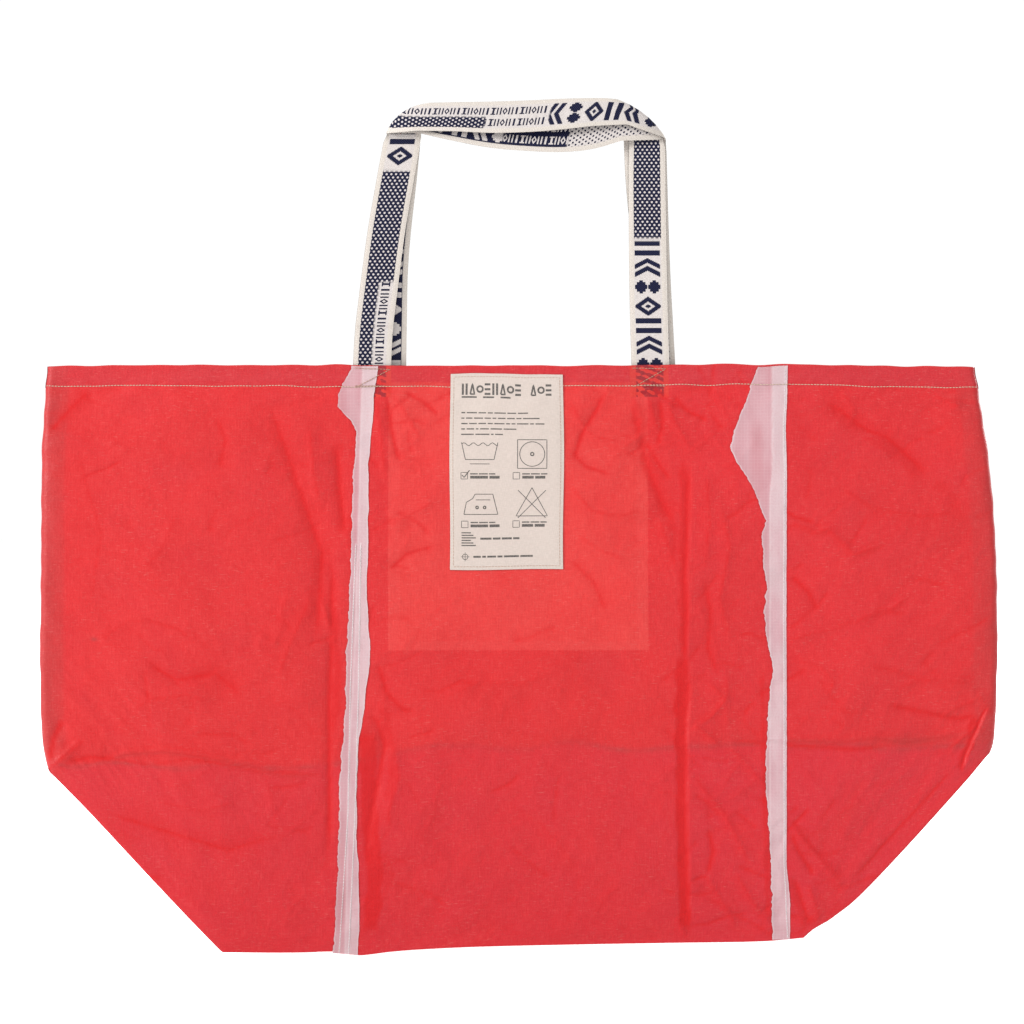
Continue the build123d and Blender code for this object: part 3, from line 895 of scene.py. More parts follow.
# ---------------------------------------------------------------- thread
def stitched(name, places, normals, body, material, *replaced, pitch=2.5 * MM, radius=0.2 * MM, gap=0.22):
    """A row of single stitches along a path of points with normals."""
    run = np.concatenate([[0], np.cumsum(np.linalg.norm(np.diff(places, axis=0), axis=1))])
    count, rings, sides = max(1, round(run[-1] / pitch)), 5, 6
    along = np.arange(count)[:, None] + gap / 2 + np.linspace(0, 1 - gap, rings)
    along = along * (run[-1] / count)
    centre, normal = (
        np.stack([np.interp(along, run, way[:, axis]) for axis in range(3)], -1) for way in (places, normals)
    )
    ahead = centre[:, -1:] - centre[:, :1]
    ahead /= np.linalg.norm(ahead, axis=-1, keepdims=True) + 1e-12
    side = np.cross(ahead, normal)
    rise = np.sin(np.linspace(0.05, 0.95, rings) * math.pi)[:, None]
    centre = centre + normal * radius * (rise * 0.9 - 0.35)
    angles = 2 * math.pi * np.arange(sides)[:, None] / sides
    round_it = np.cos(angles) * side[:, :, None] + np.sin(angles) * normal[:, :, None]
    verts = centre[:, :, None] + radius * (0.45 + 0.55 * rise[..., None]) * round_it
    index = np.arange(rings * sides).reshape(rings, sides)
    beside = np.roll(index, -1, 1)
    walls = np.stack([index[:-1], beside[:-1], beside[1:], index[1:]], -1).reshape(-1, 4).tolist()
    one = [*walls, index[0, ::-1].tolist(), index[-1].tolist()]
    faces = [[k * rings * sides + at for at in face] for k in range(count) for face in one]
    settle(new_object(name, verts, faces, [material]), body, "thread", *replaced)


def path_on(sampler, points, lift, seen=False):
    """Points (mm) of a polyline laid on a face, every half millimetre. Seen ones are given where
    they end up."""
    runs = []
    for a, b in zip(points, points[1:]):
        runs.append(np.linspace(a, b, max(2, int(math.dist(a, b) * 2)), endpoint=False) * MM)
    u, v = np.concatenate(runs).T
    return sampler.at(*(flat_of(u, v) if seen else (u, v)), lift)


def thread_path(face, points, lift):
    """A path on a face that stands higher where it passes over the pale strips."""
    places, normals = path_on({"front": on_front, "back": on_back}[face], points, lift * MM)
    if face == "front":
        x = places[:, 0] * 1000
        left, right = smooth(-146, -143, x) * smooth(-110, -113, x), smooth(179, 182, x) * smooth(217, 214, x)
        places = places + normals * (0.75 * MM * np.maximum(left, right))[:, None]
    return places, normals


# Where the two ends of each handle are sewn in, in mm from left to right
TAILS = {
    "front": (("left", -131, -101), ("right", 90, 119)),
    "back": (("left", -119, -89), ("right", 96, 126)),
}
ends_mm = [-WIDE * 1000 + 1.2, -CUT * 1000, CUT * 1000, WIDE * 1000 - 1.2]
for face in ("front", "back"):
    for part, sign, low, high in zip(("left", "middle", "right"), (-1, 0, 1), ends_mm, ends_mm[1:]):
        steps = [*np.arange(low, high, 8), high]
        wobble = [(x, 448.9 + 0.3 * math.sin(x / 17) + 0.5 * math.sin(x / 95)) for x in steps]
        body = side_fold(face, part, sign) if sign else face
        replaced = [] if sign else [f"{face}_hem_stitching"]
        path = thread_path(face, wobble, 0.05)
        stitched(f"{face}_hem_thread_{part}", *path, body, PALE, *replaced, radius=0.30 * MM, gap=0.16)
    for part, low, high in TAILS[face]:
        zigzag = [(low + 1, 463.5), (high - 1, 462.5), (low + 2, 448), (low + 1.5, 449.2), (high - 1, 448.6)]
        replaced = [f"front_strap_stitching_{part}"] if face == "front" else []
        path = thread_path(face, zigzag, 0.1)
        stitched(f"{face}_strap_thread_{part}", *path, face, TAN, *replaced, radius=0.26 * MM, gap=0.16)


# ---------------------------------------------------------------- pale seam strips
def edge_curve(points, z):
    """x of a line of (x, z) points at the heights z."""
    xs, zs = np.array(points, float).T
    order = np.argsort(zs)
    return np.interp(z, zs[order], xs[order])


STRIP_LEFT_OUTER = [
    (-147, -0.6), (-146.8, 1), (-143.6, 50), (-142, 95), (-141.5, 135), (-138, 180), (-135, 250),
    (-133, 297), (-132.4, 326), (-131, 363), (-129.5, 395), (-128, 412), (-133, 422), (-142.5, 432),
    (-142, 442), (-137, 452), (-131.5, 464),
]
STRIP_LEFT_INNER = [
    (-127, -2.6), (-127, 1), (-126.2, 27), (-126, 70), (-128.3, 92), (-127.8, 130), (-126.5, 170),
    (-123.8, 182), (-119.8, 213), (-116.8, 240), (-119.8, 280), (-119, 314), (-118.6, 350),
    (-118.6, 380), (-116.8, 408), (-113, 447), (-111, 464),
]
STRIP_RIGHT_OUTER = [
    (202.5, 9), (200, 75), (197.8, 112), (196.5, 148), (198.8, 197), (201.6, 223), (198.4, 241),
    (194.5, 272), (197.5, 287), (193.5, 310), (192.8, 330), (193.6, 334), (196.8, 341), (190, 358),
    (181.8, 376), (172.5, 388), (167.5, 400), (189.8, 464),
]
STRIP_RIGHT_INNER = [(215.9, 9), (215.8, 40), (212.7, 68), (212.8, 200), (212.7, 380), (212, 416), (214, 464)]
# Rows of stitches on the strips: two on the left one, then one on the right one
STITCH_LINES = [
    [(-142, -3), (-138.5, 50), (-134.5, 114), (-133, 205), (-128.5, 323)],
    [(-134.5, -3), (-131.8, 50), (-129, 114), (-126.5, 205), (-124.6, 323)],
    [(214, 11), (210.8, 70), (210.8, 380), (210.4, 416), (212.2, 462)],
]


def seam_strip(side, outer, inner, band, seed):
    """A ragged pale strip; from the line of the band to the inner edge the cloth is doubled."""
    rng = np.random.default_rng(seed)
    z = np.arange(outer[0][1], 464.7, 0.8)

    def slow(step):
        knots = z[::step]
        return np.interp(z, knots, rng.standard_normal(len(knots)))

    nearby = np.convolve(rng.standard_normal(len(z) + 8), np.ones(3) / 3, "same")[: len(z)]
    x_out = edge_curve(outer, z) + 0.42 * nearby + 0.5 * slow(9)
    x_in = edge_curve(inner, z) + 0.12 * nearby + (0.35 * slow(11) if side == "left" else 0)
    t = np.linspace(0, 1, 25)[:, None]
    u = x_out * (1 - t) + x_in * t
    v = np.repeat(z[None], len(t), 0)
    if side == "left":
        # the lower end is cut a little on the slant
        v = v + (-1.4 - 1.8 * t - z[0]) * smooth(14, 0, v - z[0])
    curl = 0.3 * np.exp(-t * np.abs(x_in - x_out) / 2.0)
    wave = 0.12 * (1 + np.sin(v / 9.0 + 3 * t))
    points, normals = on_front.at(*flat_of(u * MM, v * MM))
    points = points + normals * ((0.3 + curl + wave)[..., None] * MM)
    if side == "left":
        # and it hangs just past the bottom edge
        points[..., 2] += (v * MM - points[..., 2]) * smooth(3.5, 1.5, v)
    from_band = u - np.interp(v, *band)
    doubled = smooth(-0.8, 0.8, from_band)
    edge = bell(u - x_out, 0.9) + 0.8 * bell(u - x_in, 0.8) + 0.7 * bell(from_band, 0.8)
    for line in STITCH_LINES:
        low, high = line[0][1], line[-1][1]
        inside = smooth(low - 2, low, v) * smooth(high + 2, high, v)
        edge = edge + 1.2 * inside * bell(u - edge_curve(line, v), 0.55)
    veil = smooth(0.1, 0.8, np.sin(v / 31.0 + seed) * np.cos(u / 5.0)) * (1 - doubled)
    colours = np.stack([doubled, np.clip(edge, 0, 1), veil], -1)
    uv = np.stack([u, v], -1) * MM
    obj = grid_object(f"seam_strip_cloth_{side}", points, uv, STRIP, grid_normals(points), colours)
    settle(obj, "front", "seam_strip", f"seam_strip_{side}")


band_left = [0, 150, 250, 400, 464], [-137, -134, -129, -125, -123]
band_right = [0, 360, 380, 464], [199.5, 199.5, 201.5, 201.5]
seam_strip("left", STRIP_LEFT_OUTER, STRIP_LEFT_INNER, band_left, 3)
seam_strip("right", STRIP_RIGHT_OUTER, STRIP_RIGHT_INNER, band_right, 8)
for part, points in zip(("left_a", "left_b", "right"), STITCH_LINES):
    path = path_on(on_front, points, 0.45 * MM, seen=True)
    stitched(f"strip_thread_{part}", *path, "front", WHITE, pitch=2.3 * MM, radius=0.3 * MM)

# ---------------------------------------------------------------- label
label_low, label_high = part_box("care_label")
label_x, label_z = label_low.x * 1000, label_low.z * 1000
label_wide, label_tall = label_high.x * 1000 - label_x, label_high.z * 1000 - label_z


def label_point(a, b, lift):
    """a and b in mm from the label's lower left corner; slightly bowed edges."""
    bow = 0.7 * np.sin(b / label_tall * math.pi * 2.3 + 0.4) * (2 * a / label_wide - 1) * -0.6
    sag = 0.5 * np.sin(a / label_wide * math.pi * 1.6 + 0.6) * (2 * b / label_tall - 1)
    u, v = (label_x + a + bow) * MM, (label_z + b + sag + 0.9) * MM
    around = ((0, 0), (0.005, 0), (-0.005, 0), (0, 0.005), (0, -0.005))
    soft = sum(on_front.at(u + du, v + dv)[0] for du, dv in around) / 5
    under = np.minimum(soft[..., 1], on_front.at(u, v)[0][..., 1])
    ripple = 0.22 * np.sin(a / 7.0 + b / 19.0) * np.sin(b / 11.0)
    edge = np.minimum(np.minimum(a, label_wide - a), np.minimum(b, label_tall - b))
    dome = 0.25 * smooth(0, 6, edge)
    soft[..., 1] = under - (0.75 + ripple * 0.5 + dome + lift) * MM
    return soft


def label_line(length, count):
    """Places along one side of the label, doubled at the ends for the rim."""
    return np.concatenate([[0, 0], np.linspace(0.25, length - 0.25, count), [length, length]])


A, B = np.meshgrid(label_line(label_wide, 72), label_line(label_tall, 124), indexing="ij")
label_points = label_point(A, B, 0.0)
rimmed = np.ones(A.shape, bool)
rimmed[1:-1, 1:-1] = False
label_points[rimmed, 1] += 0.55 * MM
label = grid_object("care_label_cloth", label_points, np.stack([A, B], -1) * MM, COTTON)
settle(label, "front", "label_cotton", "care_label")

margin = 2.6
low, right, top = margin, label_wide - margin, label_tall - margin
loop = [(low, low), (right, low), (right, top), (low, top), (low, low)]
places = []
for start, end in zip(loop, loop[1:]):
    a, b = np.linspace(start, end, int(math.dist(start, end) * 2), endpoint=False).T
    places.append(label_point(a, b, 0.02))
places = np.concatenate(places)
facing = np.tile([0.0, -1.0, 0.0], (len(places), 1))
stitched("care_label_thread", places, facing, "front", TAN, "care_label_stitching", radius=0.17 * MM)


class Print:
    """Flat printed strokes that lie on the label."""

    def __init__(self):
        self.corners = []

    def bar(self, a0, b0, a1, b1):
        """A filled rectangle, cut in short quads so that it follows the cloth."""
        xs = np.linspace(a0, a1, max(1, int((a1 - a0) / 1.5)) + 1)
        zs = np.linspace(b0, b1, max(1, int((b1 - b0) / 1.5)) + 1)
        for left, right in zip(xs, xs[1:]):
            for low, high in zip(zs, zs[1:]):
                self.corners += [(left, low), (right, low), (right, high), (left, high)]

    def stroke(self, width, *points):
        fine = []
        for start, end in zip(points, points[1:]):
            fine += np.linspace(start, end, max(1, int(math.dist(start, end))), endpoint=False).tolist()
        fine = np.array([*fine, points[-1]])
        ahead = np.gradient(fine, axis=0)
        ahead /= np.linalg.norm(ahead, axis=1, keepdims=True) + 1e-9
        side = np.stack([-ahead[:, 1], ahead[:, 0]], -1) * width / 2
        left, right = fine + side, fine - side
        for k in range(len(fine) - 1):
            self.corners += [right[k], right[k + 1], left[k + 1], left[k]]

    def circle(self, width, a, b, r):
        angles = np.linspace(0, 2 * math.pi, max(10, int(r * 6)) + 1)
        self.stroke(width, *((a + r * math.cos(t), b + r * math.sin(t)) for t in angles))

    def box(self, width, a0, b0, a1, b1):
        self.stroke(width, (a0, b0), (a1, b0), (a1, b1), (a0, b1), (a0, b0))

    def words(self, a, b, lengths, tall, gap):
        """A line of plain bars, as long as words."""
        for length in lengths:
            self.bar(a, b, a + length, b + tall)
            a += length + gap

    def make(self, name):
        corners = np.array(self.corners)
        quads = np.arange(len(corners)).reshape(-1, 4).tolist()
        settle(new_object(name, label_point(*corners.T, 0.05), quads, [INK], corners * MM), "front", "thread")


pr = Print()
# heading: a band of plain blocks
for k in range(12):
    left, kind = 9 + 6.1 * k, k * 5 % 4
    if k == 8:
        continue
    if kind == 0:
        for a in (left, left + 3.0):
            pr.bar(a, 138.8, a + 1.7, 148)
    elif kind == 1:
        pr.stroke(1.3, (left + 0.7, 139.4), (left + 2.4, 147.6), (left + 4.1, 139.4), (left + 0.7, 139.4))
    elif kind == 2:
        pr.circle(1.5, left + 2.4, 143.4, 2.3)
    else:
        for b, top in ((146.3, 148), (142.4, 144.1), (138.8, 140.5)):
            pr.bar(left, b, left + 4.6, top)
pr.words(9, 136.4, (12, 9, 8), 1.3, 5)
# lines of text as plain bars
for k, lengths in enumerate((
    (3, 8, 6, 4, 9, 7, 8), (2.5, 5, 7, 5, 3, 6, 6, 4, 13), (5, 6, 6, 4, 8, 3, 3, 9, 3, 7),
    (3, 6, 2, 7, 9, 10), (10, 11, 2, 6),
)):
    pr.words(9, 124.2 - k * 4.3, lengths, 0.95, 1.3)
# care symbols, two rows of two: tub, drum, iron and crossed triangle
pr.stroke(0.6, (9.5, 101), (12.5, 87.5), (35, 87.5), (38, 101))
pr.stroke(0.6, *((9.5 + k * 1.425, 99.6 + 1.2 * math.sin(k * 1.2)) for k in range(21)))
pr.stroke(0.55, (16, 84), (31.5, 84))
pr.box(0.6, 53.5, 80.5, 76.5, 103.5)
pr.circle(0.6, 65, 92, 9.8)
pr.circle(1.0, 65, 92, 1.3)
pr.stroke(0.6, (11, 44), (38, 44), (34, 60), (20, 60), (18, 56.5), (13, 53.5), (11, 44))
pr.stroke(0.55, (20.5, 55.5), (32, 55.5))
pr.circle(1.0, 21.5, 49.5, 1.0)
pr.circle(1.0, 27.5, 49.5, 1.0)
pr.stroke(0.6, (65, 65), (52.5, 42.5), (77.5, 42.5), (65, 65))
pr.stroke(0.6, (54, 63), (76, 41))
pr.stroke(0.6, (76, 63), (54, 41))
# tick boxes beside two lines each
for col, first in ((9, 14), (50, 9)):
    for row in (72, 33.5):
        pr.box(0.5, col, row, col + 5.2, row + 5.2)
        pr.words(col + 7.2, row + 3.6, (6, 7, 5), 1.0, 0.9)
        pr.words(col + 7.2, row + 0.3, (first, 8), 2.2, 1.2)
pr.stroke(0.8, (9.8, 75.2), (11.4, 73.2), (15.8, 79))
# a stepped block, a crossed ring and two last lines
for k in range(6):
    pr.bar(9, 19 + k * 2.0, 9 + 11.5 - (k % 3) * 2, 19.9 + k * 2.0)
pr.words(24, 24, (9, 6, 8, 5), 1.6, 1.1)
pr.circle(0.5, 12, 10.5, 2.2)
pr.stroke(0.4, (12, 7), (12, 14))
pr.stroke(0.4, (8.6, 10.5), (15.4, 10.5))
pr.words(18.5, 9.8, (6, 3, 7, 4, 12, 10), 1.5, 1.1)
pr.make("care_label_print")


# ---------------------------------------------------------------- webbing
def catmull(points, per):
    """A smooth curve through the points; per is the number of steps between two of them."""
    p = np.array(points, float)
    p = np.vstack([2 * p[0] - p[1], p, 2 * p[-1] - p[-2]])
    t = np.linspace(0, 1, per, endpoint=False)[:, None]
    out = []
    for a, b, c, d in zip(p, p[1:], p[2:], p[3:]):
        square, cube = 2 * a - 5 * b + 4 * c - d, 3 * b - a - 3 * c + d
        out.append(0.5 * (2 * b + (c - a) * t + square * t ** 2 + cube * t ** 3))
    return np.vstack([*out, p[-2]])


def length_along(line):
    return np.concatenate([[0], np.cumsum(np.linalg.norm(np.diff(line, axis=0), axis=1))])


# Places across the tape, from -1 to 1, closer together at the edges
ACROSS = np.array([
    -15, -14.6, -13.5, -12, -11, -9, -7, -5, -3, -1, 1, 3, 5, 7, 9, 11, 12, 13.5, 14.6, 15,
]) / 15


def tape(face, parts, zones, ridge=0):
    """A handle's webbing, from runs of (one edge, other edge, how far the middle bulges) in mm."""
    steps = [22 if len(part) > 3 else 4 for part in parts]
    left, right, crown = (
        MM * np.vstack([
            catmull([(*pair, (0, 0, 0))[k] for pair in part], step) for part, step in zip(parts, steps)
        ])
        for k in range(3)
    )
    tl, tr = length_along(left), length_along(right)
    # the second fold takes up the difference, so that the woven rows stay square in the last leg
    sizes = [step * (len(part) - 1) + 1 for part, step in zip(parts, steps)]
    fold_from, leg = sum(sizes[:3]), sum(sizes[:4])
    length = (tl[-1] + tr[-1]) / 2
    for run in (tl, tr):
        shift = length - run[-1]
        run[leg:] += shift
        run[fold_from:leg] += shift * np.linspace(0, 1, sizes[3])
    s = ACROSS[:, None]
    f = (s + 1) / 2
    t = tl * (1 - f) + tr * f
    t_mm, s_mm = t * 1000, s * 15 * np.ones_like(t)
    s, f = s[..., None], f[..., None]
    middle = left * (1 - f) + right * f + crown * (1 - s ** 2)
    normals = grid_normals(middle, True)
    half = 0.45 * MM * np.clip(1.25 - np.abs(s) ** 12, 0.35, 1)
    ripple = 0.12 * MM * np.sin(t * 900)[..., None] * (1 - np.abs(s))
    if ridge:
        fold = smooth(ridge - 1.6, ridge - 0.2, t_mm) * smooth(ridge + 5, ridge + 0.4, t_mm)
        middle = middle + np.array([0, -1.1 * MM, 0]) * fold[..., None]
    top, bottom = middle + normals * (half + ripple), middle - normals * (half - ripple)
    colours = np.zeros((*t.shape, 3))
    for low, high, motif, s_low, s_high in zones:
        inside = smooth(low - 0.4, low + 0.4, t_mm) * smooth(high + 0.4, high - 0.4, t_mm)
        inside = inside * (s_mm >= s_low) * (s_mm <= s_high)
        colours[..., motif] = np.maximum(colours[..., motif], inside)
    index = np.arange(t.size).reshape(t.shape)
    # two faces, then the walls round the four sides
    sheets = [grid_quads(index, True), grid_quads(index) + t.size]
    walls = [
        grid_quads(np.stack([line, line + t.size], 1), flip)
        for line, flip in ((index[0], False), (index[-1], True), (index[:, 0], True), (index[:, -1], False))
    ]
    uv = np.stack([s_mm * MM, t], -1)
    materials = [TAPE_IN, TAPE_OUT, TAPE_EDGE] if face == "front" else [TAPE_OUT, TAPE_IN, TAPE_EDGE]
    quads = np.vstack([*sheets, *walls]).tolist()
    obj = new_object(f"{face}_handle_tape", [top, bottom], quads, materials, [uv, uv], [colours, colours])
    kinds = np.repeat([0, 1, 2], [len(sheets[0]), len(sheets[1]), sum(len(wall) for wall in walls)])
    obj.data.polygons.foreach_set("material_index", kinds.tolist())
    turn = ((0, PLANES[face], HINGE_Z + reach * MM) for reach in (-2.0, 3.0))
    nodes = [f"{face}_handle_webbing", f"{face}_strap_end_left", f"{face}_strap_end_right"]
    settle(obj, (face, f"{face}_handle", *turn), "webbing", *nodes)


# Front handle: edge pairs (outer edge of the legs first) and how far the middle bulges, in mm
FRONT_RUNS = [
    [  # left leg, from the tail up
        ((-132, -2.2, 440), (-102, -2.2, 440)), ((-131.2, -2.3, 463), (-101.0, -2.3, 463)),
        ((-129.4, -3.4, 493), (-99.4, -2.8, 493)), ((-124.8, -3.6, 532), (-94.8, -3.0, 532)),
        ((-119.4, -3.2, 572), (-89.6, -2.6, 572)), ((-112.5, -2.6, 612), (-82.9, -2.2, 612)),
        ((-107.0, -2.2, 642), (-77.0, -2.2, 646)),
    ],
    [  # the left fold turns the tape towards the viewer
        ((-104.2, -2.2, 648), (-77.6, -2.2, 668), (-1.6, 0, 1.8)),
        ((-104.0, -3.4, 649), (-77.8, -3.4, 670), (-2.6, 0, 2.6)),
        ((-103.0, -4.8, 648.6), (-76.0, -4.6, 668), (-1.6, 0, 1.8)),
    ],
    [  # the run across, seen from its reverse, sagging below the other
        ((-78, -7.4, 648.6), (-70, -4.6, 668.5)), ((-52, -9.0, 642.5), (-48, -4.8, 668.0)),
        ((-22, -9.8, 636.8), (-20, -5.0, 664.6)), ((10, -10.2, 634.0), (10, -5.2, 662.2)),
        ((37, -10.0, 633.4), (38, -5.2, 662.0)), ((60, -9.4, 636.0), (62, -5.0, 664.0)),
        ((82, -7.8, 642.6), (76, -4.8, 668.6)),
    ],
    [
        ((114.0, -4.8, 644), (80.0, -4.6, 669.0), (1.6, 0, 1.8)),
        ((115.4, -3.4, 645), (81.0, -3.4, 670.4), (2.6, 0, 2.6)),
        ((115.4, -2.2, 643), (80.6, -2.2, 669.4), (1.6, 0, 1.8)),
    ],
    [
        ((116.6, -2.2, 638), (88.4, -2.2, 645)), ((117.0, -2.8, 612), (87.8, -2.4, 612)),
        ((117.5, -3.2, 572), (88.0, -2.8, 572)), ((118.2, -3.4, 532), (88.4, -2.9, 532)),
        ((119.0, -3.2, 500), (89.0, -2.8, 500)), ((120.2, -2.3, 463), (90.2, -2.3, 463)),
        ((120.6, -2.2, 440), (90.6, -2.2, 440)),
    ],
]
BACK_RUNS = [
    [
        ((-119, 3.4, 440), (-89, 3.4, 440)), ((-119, 3.3, 463), (-89.0, 3.3, 463)),
        ((-118.6, 2.0, 500), (-88.4, 2.0, 500)), ((-117.4, 1.2, 540), (-87.6, 1.2, 540)),
        ((-114.6, 0.6, 575), (-84.8, 0.6, 575)), ((-110.0, 0.2, 612), (-80.6, 0.2, 612)),
        ((-104.6, 0.0, 642), (-77.2, 0.0, 648)),
    ],
    [
        ((-103.4, -0.2, 648), (-77.6, -0.2, 670.4), (-1.8, 0, 2.0)),
        ((-104.4, -3.6, 649.2), (-78.0, -3.4, 671.6), (-3.0, 0, 3.0)),
        ((-103.0, -7.2, 648.6), (-75.6, -6.6, 671.8), (-1.8, 0, 2.0)),
    ],
    [
        ((-80, -11.0, 650.0), (-70, -7.2, 672.8)), ((-50, -13.4, 649.2), (-48, -7.4, 673.2)),
        ((-20, -14.4, 647.8), (-22, -7.4, 673.6)), ((10, -14.4, 648.6), (8, -7.2, 674.6)),
        ((36, -13.6, 650.8), (34, -7.0, 675.9)), ((58, -12.4, 653.4), (56, -6.8, 676.5)),
        ((86, -10.0, 655.2), (70, -6.6, 676.5)),
    ],
    [
        ((115.0, -7.0, 645.4), (76.0, -6.6, 675.8), (2.0, 0, 2.6)),
        ((117.0, -3.6, 645.0), (77.4, -3.4, 676.2), (3.0, 0, 3.4)),
        ((117.6, -0.2, 642.0), (78.0, -0.2, 674.6), (1.8, 0, 2.2)),
    ],
    [
        ((118.2, 0.0, 634), (84.0, 0.0, 646)), ((118.8, 0.4, 612), (85.6, 0.4, 612)),
        ((120.0, 0.8, 572), (89.2, 0.8, 572)), ((121.6, 1.4, 532), (91.6, 1.4, 532)),
        ((123.4, 2.0, 500), (93.4, 2.0, 500)), ((125.4, 3.3, 463), (95.4, 3.3, 463)),
        ((125.6, 3.4, 440), (95.6, 3.4, 440)),
    ],
]
# Woven zones along each tape: (from, to, motif, from across, to across);
# motif 0 dots, 1 small marks, 2 large shapes
FRONT_ZONES = [
    (0, 92, 0, -15, 0.5), (0, 92, 1, 0.5, 15), (92, 181, 0, -15, 15), (184.8, 304, 2, -15, 15),
    (304, 356, 1, -15, 15), (356, 508, 0, -15, 15), (511, 700, 2, -15, 15),
]
BACK_ZONES = [
    (0, 178, 2, -15, 15), (178, 292, 0, -15, 0), (190, 340, 1, 0, 15), (292, 340, 1, -15, 0),
    (342, 470, 2, -15, 15), (470, 700, 0, -15, 15),
]
tape("front", FRONT_RUNS, FRONT_ZONES, ridge=57)
tape("back", BACK_RUNS, BACK_ZONES)


# ---------------------------------------------------------------- inside pieces
def inner_cloth(name, points, u, v, plies, dirt_and_shade, seed, flip):
    """A red piece inside the bag, a little blotched."""
    blotch = noise_field(u.shape, 4.0, 60, seed) if min(u.shape) > 8 else np.zeros(u.shape)
    tint = [np.clip(plies + 0.2 * blotch, 0, 1), np.full(u.shape, dirt_and_shade), np.zeros(u.shape)]
    return grid_object(name, points, np.stack([u, v], -1), RED_PLAIN, None, np.stack(tint, -1), flip)


def base_half(face, body, seed):
    """Half of the base, from the bottom fold up to the crease in its middle."""
    plane, inward = PLANES[face], -OUTWARD[face]
    t = np.linspace(0, 1, 61)
    u, v = np.meshgrid(np.linspace(-HALF + 0.6 * MM, HALF - 0.6 * MM, 161), APEX * t, indexing="ij")
    to_middle = smooth(0.93, 1.0, t) ** 2 * (abs(Y_MIDDLE - plane) - 0.9 * MM)
    wrinkle = np.abs(noise_field(u.shape, 2.6, 40, seed)) * 0.35 * MM
    wrinkle = wrinkle * smooth(0.05, 0.2, t) * smooth(1, 0.85, t)
    y = plane + inward * (0.9 * MM * smooth(0, 0.08, t) + to_middle + wrinkle)
    laid_x, laid_z = lie_of_cloth(u, v)
    keep = smooth(0, 0.9, t)
    z = (laid_z + 0.8 * MM * (1 - t)) * (1 - keep) + v * keep
    points = np.stack([laid_x * (1 - keep) + u * keep, y, z], -1)
    obj = inner_cloth(f"base_cloth_{face}", points, u, v, 0.3, 0.15, 3, inward < 0)
    turn = ((0, plane, 4.5 * MM), (-0.34 * MM, plane, 20.5 * MM))
    settle(obj, (face, body, *turn), "ripstop", f"base_{face}_half")


def corner_flap(face, side, sign):
    """Corner flap, folded in on the diagonal. Its first row stays with the side, as the cloth lies;
    the next row lies just past turn_at."""
    plane, inward = PLANES[face], -OUTWARD[face]
    size, slant = WIDE - HALF, math.sqrt(2)
    climb = np.linspace(0.6 * MM, size - 1.4 * MM, 61)
    from_edge = climb + 1.2 * MM
    edge_x, edge_z = lie_of_cloth(sign * (HALF + climb), from_edge)
    turn_at = float(np.max(edge_z - (np.abs(edge_x) - HALF))) / slant + 0.3 * MM
    step = (turn_at + 0.1 * MM) * slant
    q = np.linspace(0, 1, 60)
    along = np.minimum(climb, FLAP_TOP - step)[:, None] * np.ones(60)
    up = np.minimum(climb + step, FLAP_TOP)[:, None] * (1 - q) + FLAP_TOP * q
    ripple = 0.15 * np.abs(noise_field(up.shape, 2.4, 30, 9)) * (climb < FLAP_TOP - step)[:, None]
    deep = 0.55 + 0.35 * smooth(0, 6, (up - along) / slant * 1000) + ripple
    y = plane + inward * MM * np.column_stack([np.full(61, 0.55), deep])
    points = np.stack([
        np.column_stack([edge_x, sign * (HALF + along)]), y, np.column_stack([edge_z, up]),
    ], -1)
    flat_u = sign * (HALF + np.column_stack([climb, up]))
    flat_v = np.column_stack([from_edge, along])
    flip = (sign > 0) == (inward < 0)
    flap = inner_cloth(f"corner_cloth_{face}_{side}", points, flat_u, flat_v, 0.3, 0.15, 4, flip)
    # points that share a place, such as the tip of the fan, are joined
    shape = bmesh.new()
    shape.from_mesh(flap.data)
    bmesh.ops.remove_doubles(shape, verts=shape.verts, dist=1e-6)
    shape.to_mesh(flap.data)
    shape.free()
    turn = ((sign * (HALF - d / slant), plane, d / slant) for d in (turn_at, turn_at + 0.02 * MM))
    body = (f"side_{face}_{side}_half", f"corner_{face}_{side}", *turn)
    settle(flap, body, "ripstop", f"corner_flap_{face}_{side}")


for face, body, seed in (("front", "base_forward", 5), ("back", "base_rear", 6)):
    base_half(face, body, seed)
    for side, sign in SIDES:
        corner_flap(face, side, sign)

# seam allowances inside the side edges
for side, sign in SIDES:
    seam_low, seam_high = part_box(f"side_seam_{side}")
    v_line = np.arange(seam_low.z, seam_high.z, 2 * MM)
    u, v = np.meshgrid(sign * (WIDE - np.linspace(9 * MM, 23 * MM, 8)), v_line, indexing="ij")
    obj = inner_cloth(f"side_seam_cloth_{side}", on_back.at(u, v, -0.6 * MM)[0], u, v, 0.4, 0.3, 1, sign > 0)
    settle(obj, f"side_back_{side}_half", "ripstop", f"side_seam_{side}")

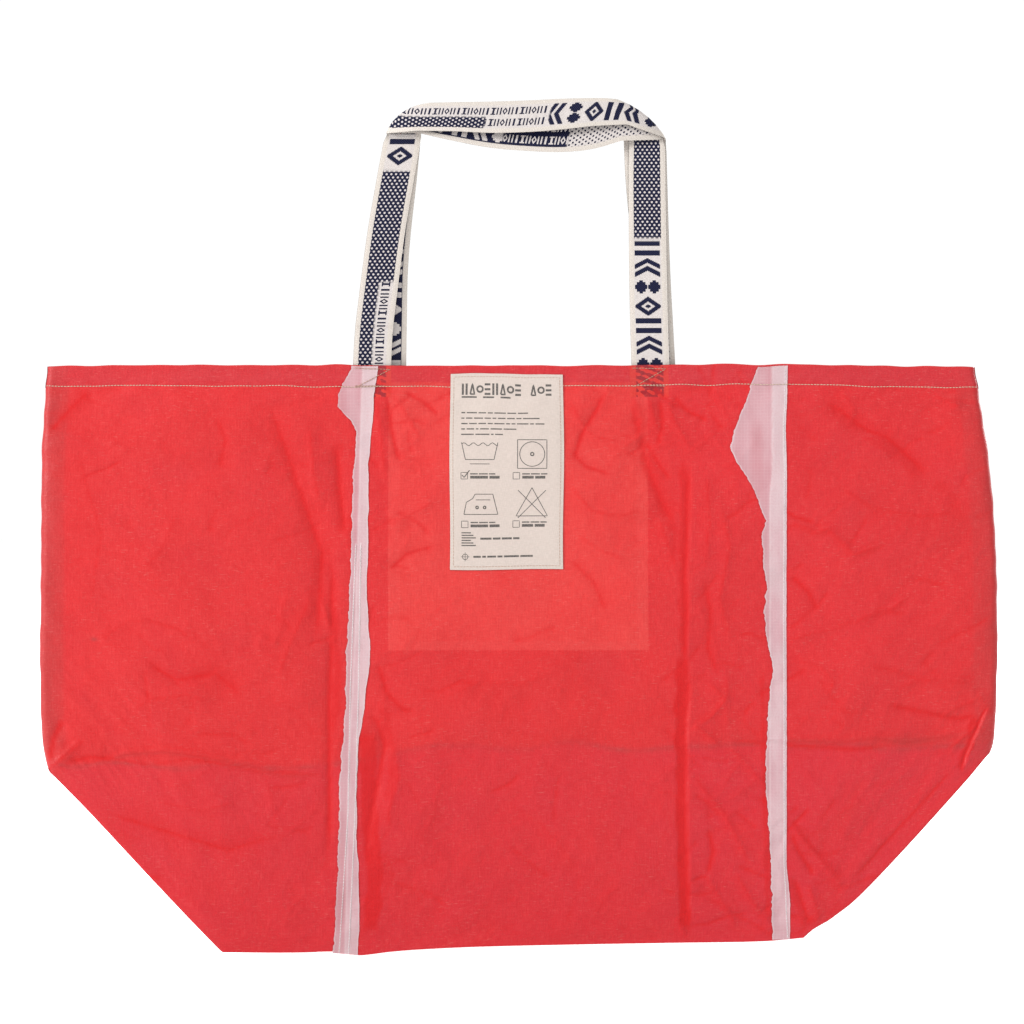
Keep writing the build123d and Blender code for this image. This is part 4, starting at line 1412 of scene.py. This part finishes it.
# pocket inside the front
low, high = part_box("inner_pocket")
wide, tall = high.x - low.x, high.z - low.z
u, v = np.meshgrid(np.linspace(low.x, high.x, 104), np.linspace(low.z, high.z, 104), indexing="ij")
points = on_front.at(u, v, -0.5 * MM)[0]
sag = smooth(0, 1, np.sin((u - low.x) / wide * math.pi)) * smooth(0, 0.6, (v - low.z) / tall)
points[..., 1] += 0.9 * MM * sag
pocket = inner_cloth("inner_pocket_cloth", points, u, v, 0.1, 0.1, 1, True)
settle(pocket, "front", "ripstop", "inner_pocket")
left, right, bottom, top = low.x * 1000 + 3, high.x * 1000 - 3, low.z * 1000 + 3, high.z * 1000 - 1
places, normals = path_on(on_front, [(left, top), (left, bottom), (right, bottom), (right, top)], -0.7 * MM)
stitched("inner_pocket_thread", places, -normals, "front", PALE, "inner_pocket_stitching")

# ---------------------------------------------------------------- studio
white = Nodes("floor_white")
white.colour = (0.965, 0.965, 0.965)
corners = [(-30, -30, 0), (30, -30, 0), (30, 30, 0), (-30, 30, 0)]
floor = new_object("floor", corners, [(0, 1, 2, 3)], [white.finish(0.95, specular=0.05)])
floor.location.z = -9 * MM

world = bpy.data.worlds.new("studio")
bpy.context.scene.world = world
world.use_nodes = True
sky = world.node_tree.nodes["Background"]
sky.inputs["Color"].default_value = (1, 1, 1, 1)
sky.inputs["Strength"].default_value = 1.04


def place_object(name, data, place):
    obj = bpy.data.objects.new(name, data)
    obj.location = place
    bpy.context.scene.collection.objects.link(obj)
    return obj


# soft lights: one far out at the side, so that folds read, and one high in front; the same behind
for name, place, size, power in (
    ("side_front", (-5.4, -2.7, 2.4), 1.8, 600), ("top_front", (0.6, -3.5, 4.0), 2.4, 130),
    ("side_back", (4.2, 4.6, 2.4), 1.8, 420), ("top_back", (-0.6, 3.5, 4.0), 2.4, 130),
):
    light = bpy.data.lights.new(name, "AREA")
    light.shape = "RECTANGLE"
    light.size = light.size_y = size
    light.energy = power
    towards = Vector((0, 0, 0.3)) - Vector(place)
    place_object(name, light, place).rotation_euler = towards.to_track_quat("-Z", "Y").to_euler()

# the camera looks straight at the front, so that 0.8127 m fills the frame there
camera_data = bpy.data.cameras.new("camera")
camera_data.lens = 85
camera_data.sensor_width = 36
camera_data.clip_end = 100
distance = 0.8126984 * camera_data.lens / camera_data.sensor_width
camera = place_object("camera", camera_data, (-0.0047619, Y_FRONT - distance, 0.3484127))
camera.rotation_euler = (math.pi / 2, 0, 0)
bpy.context.scene.camera = camera
bpy.context.scene.view_settings.view_transform = "Standard"
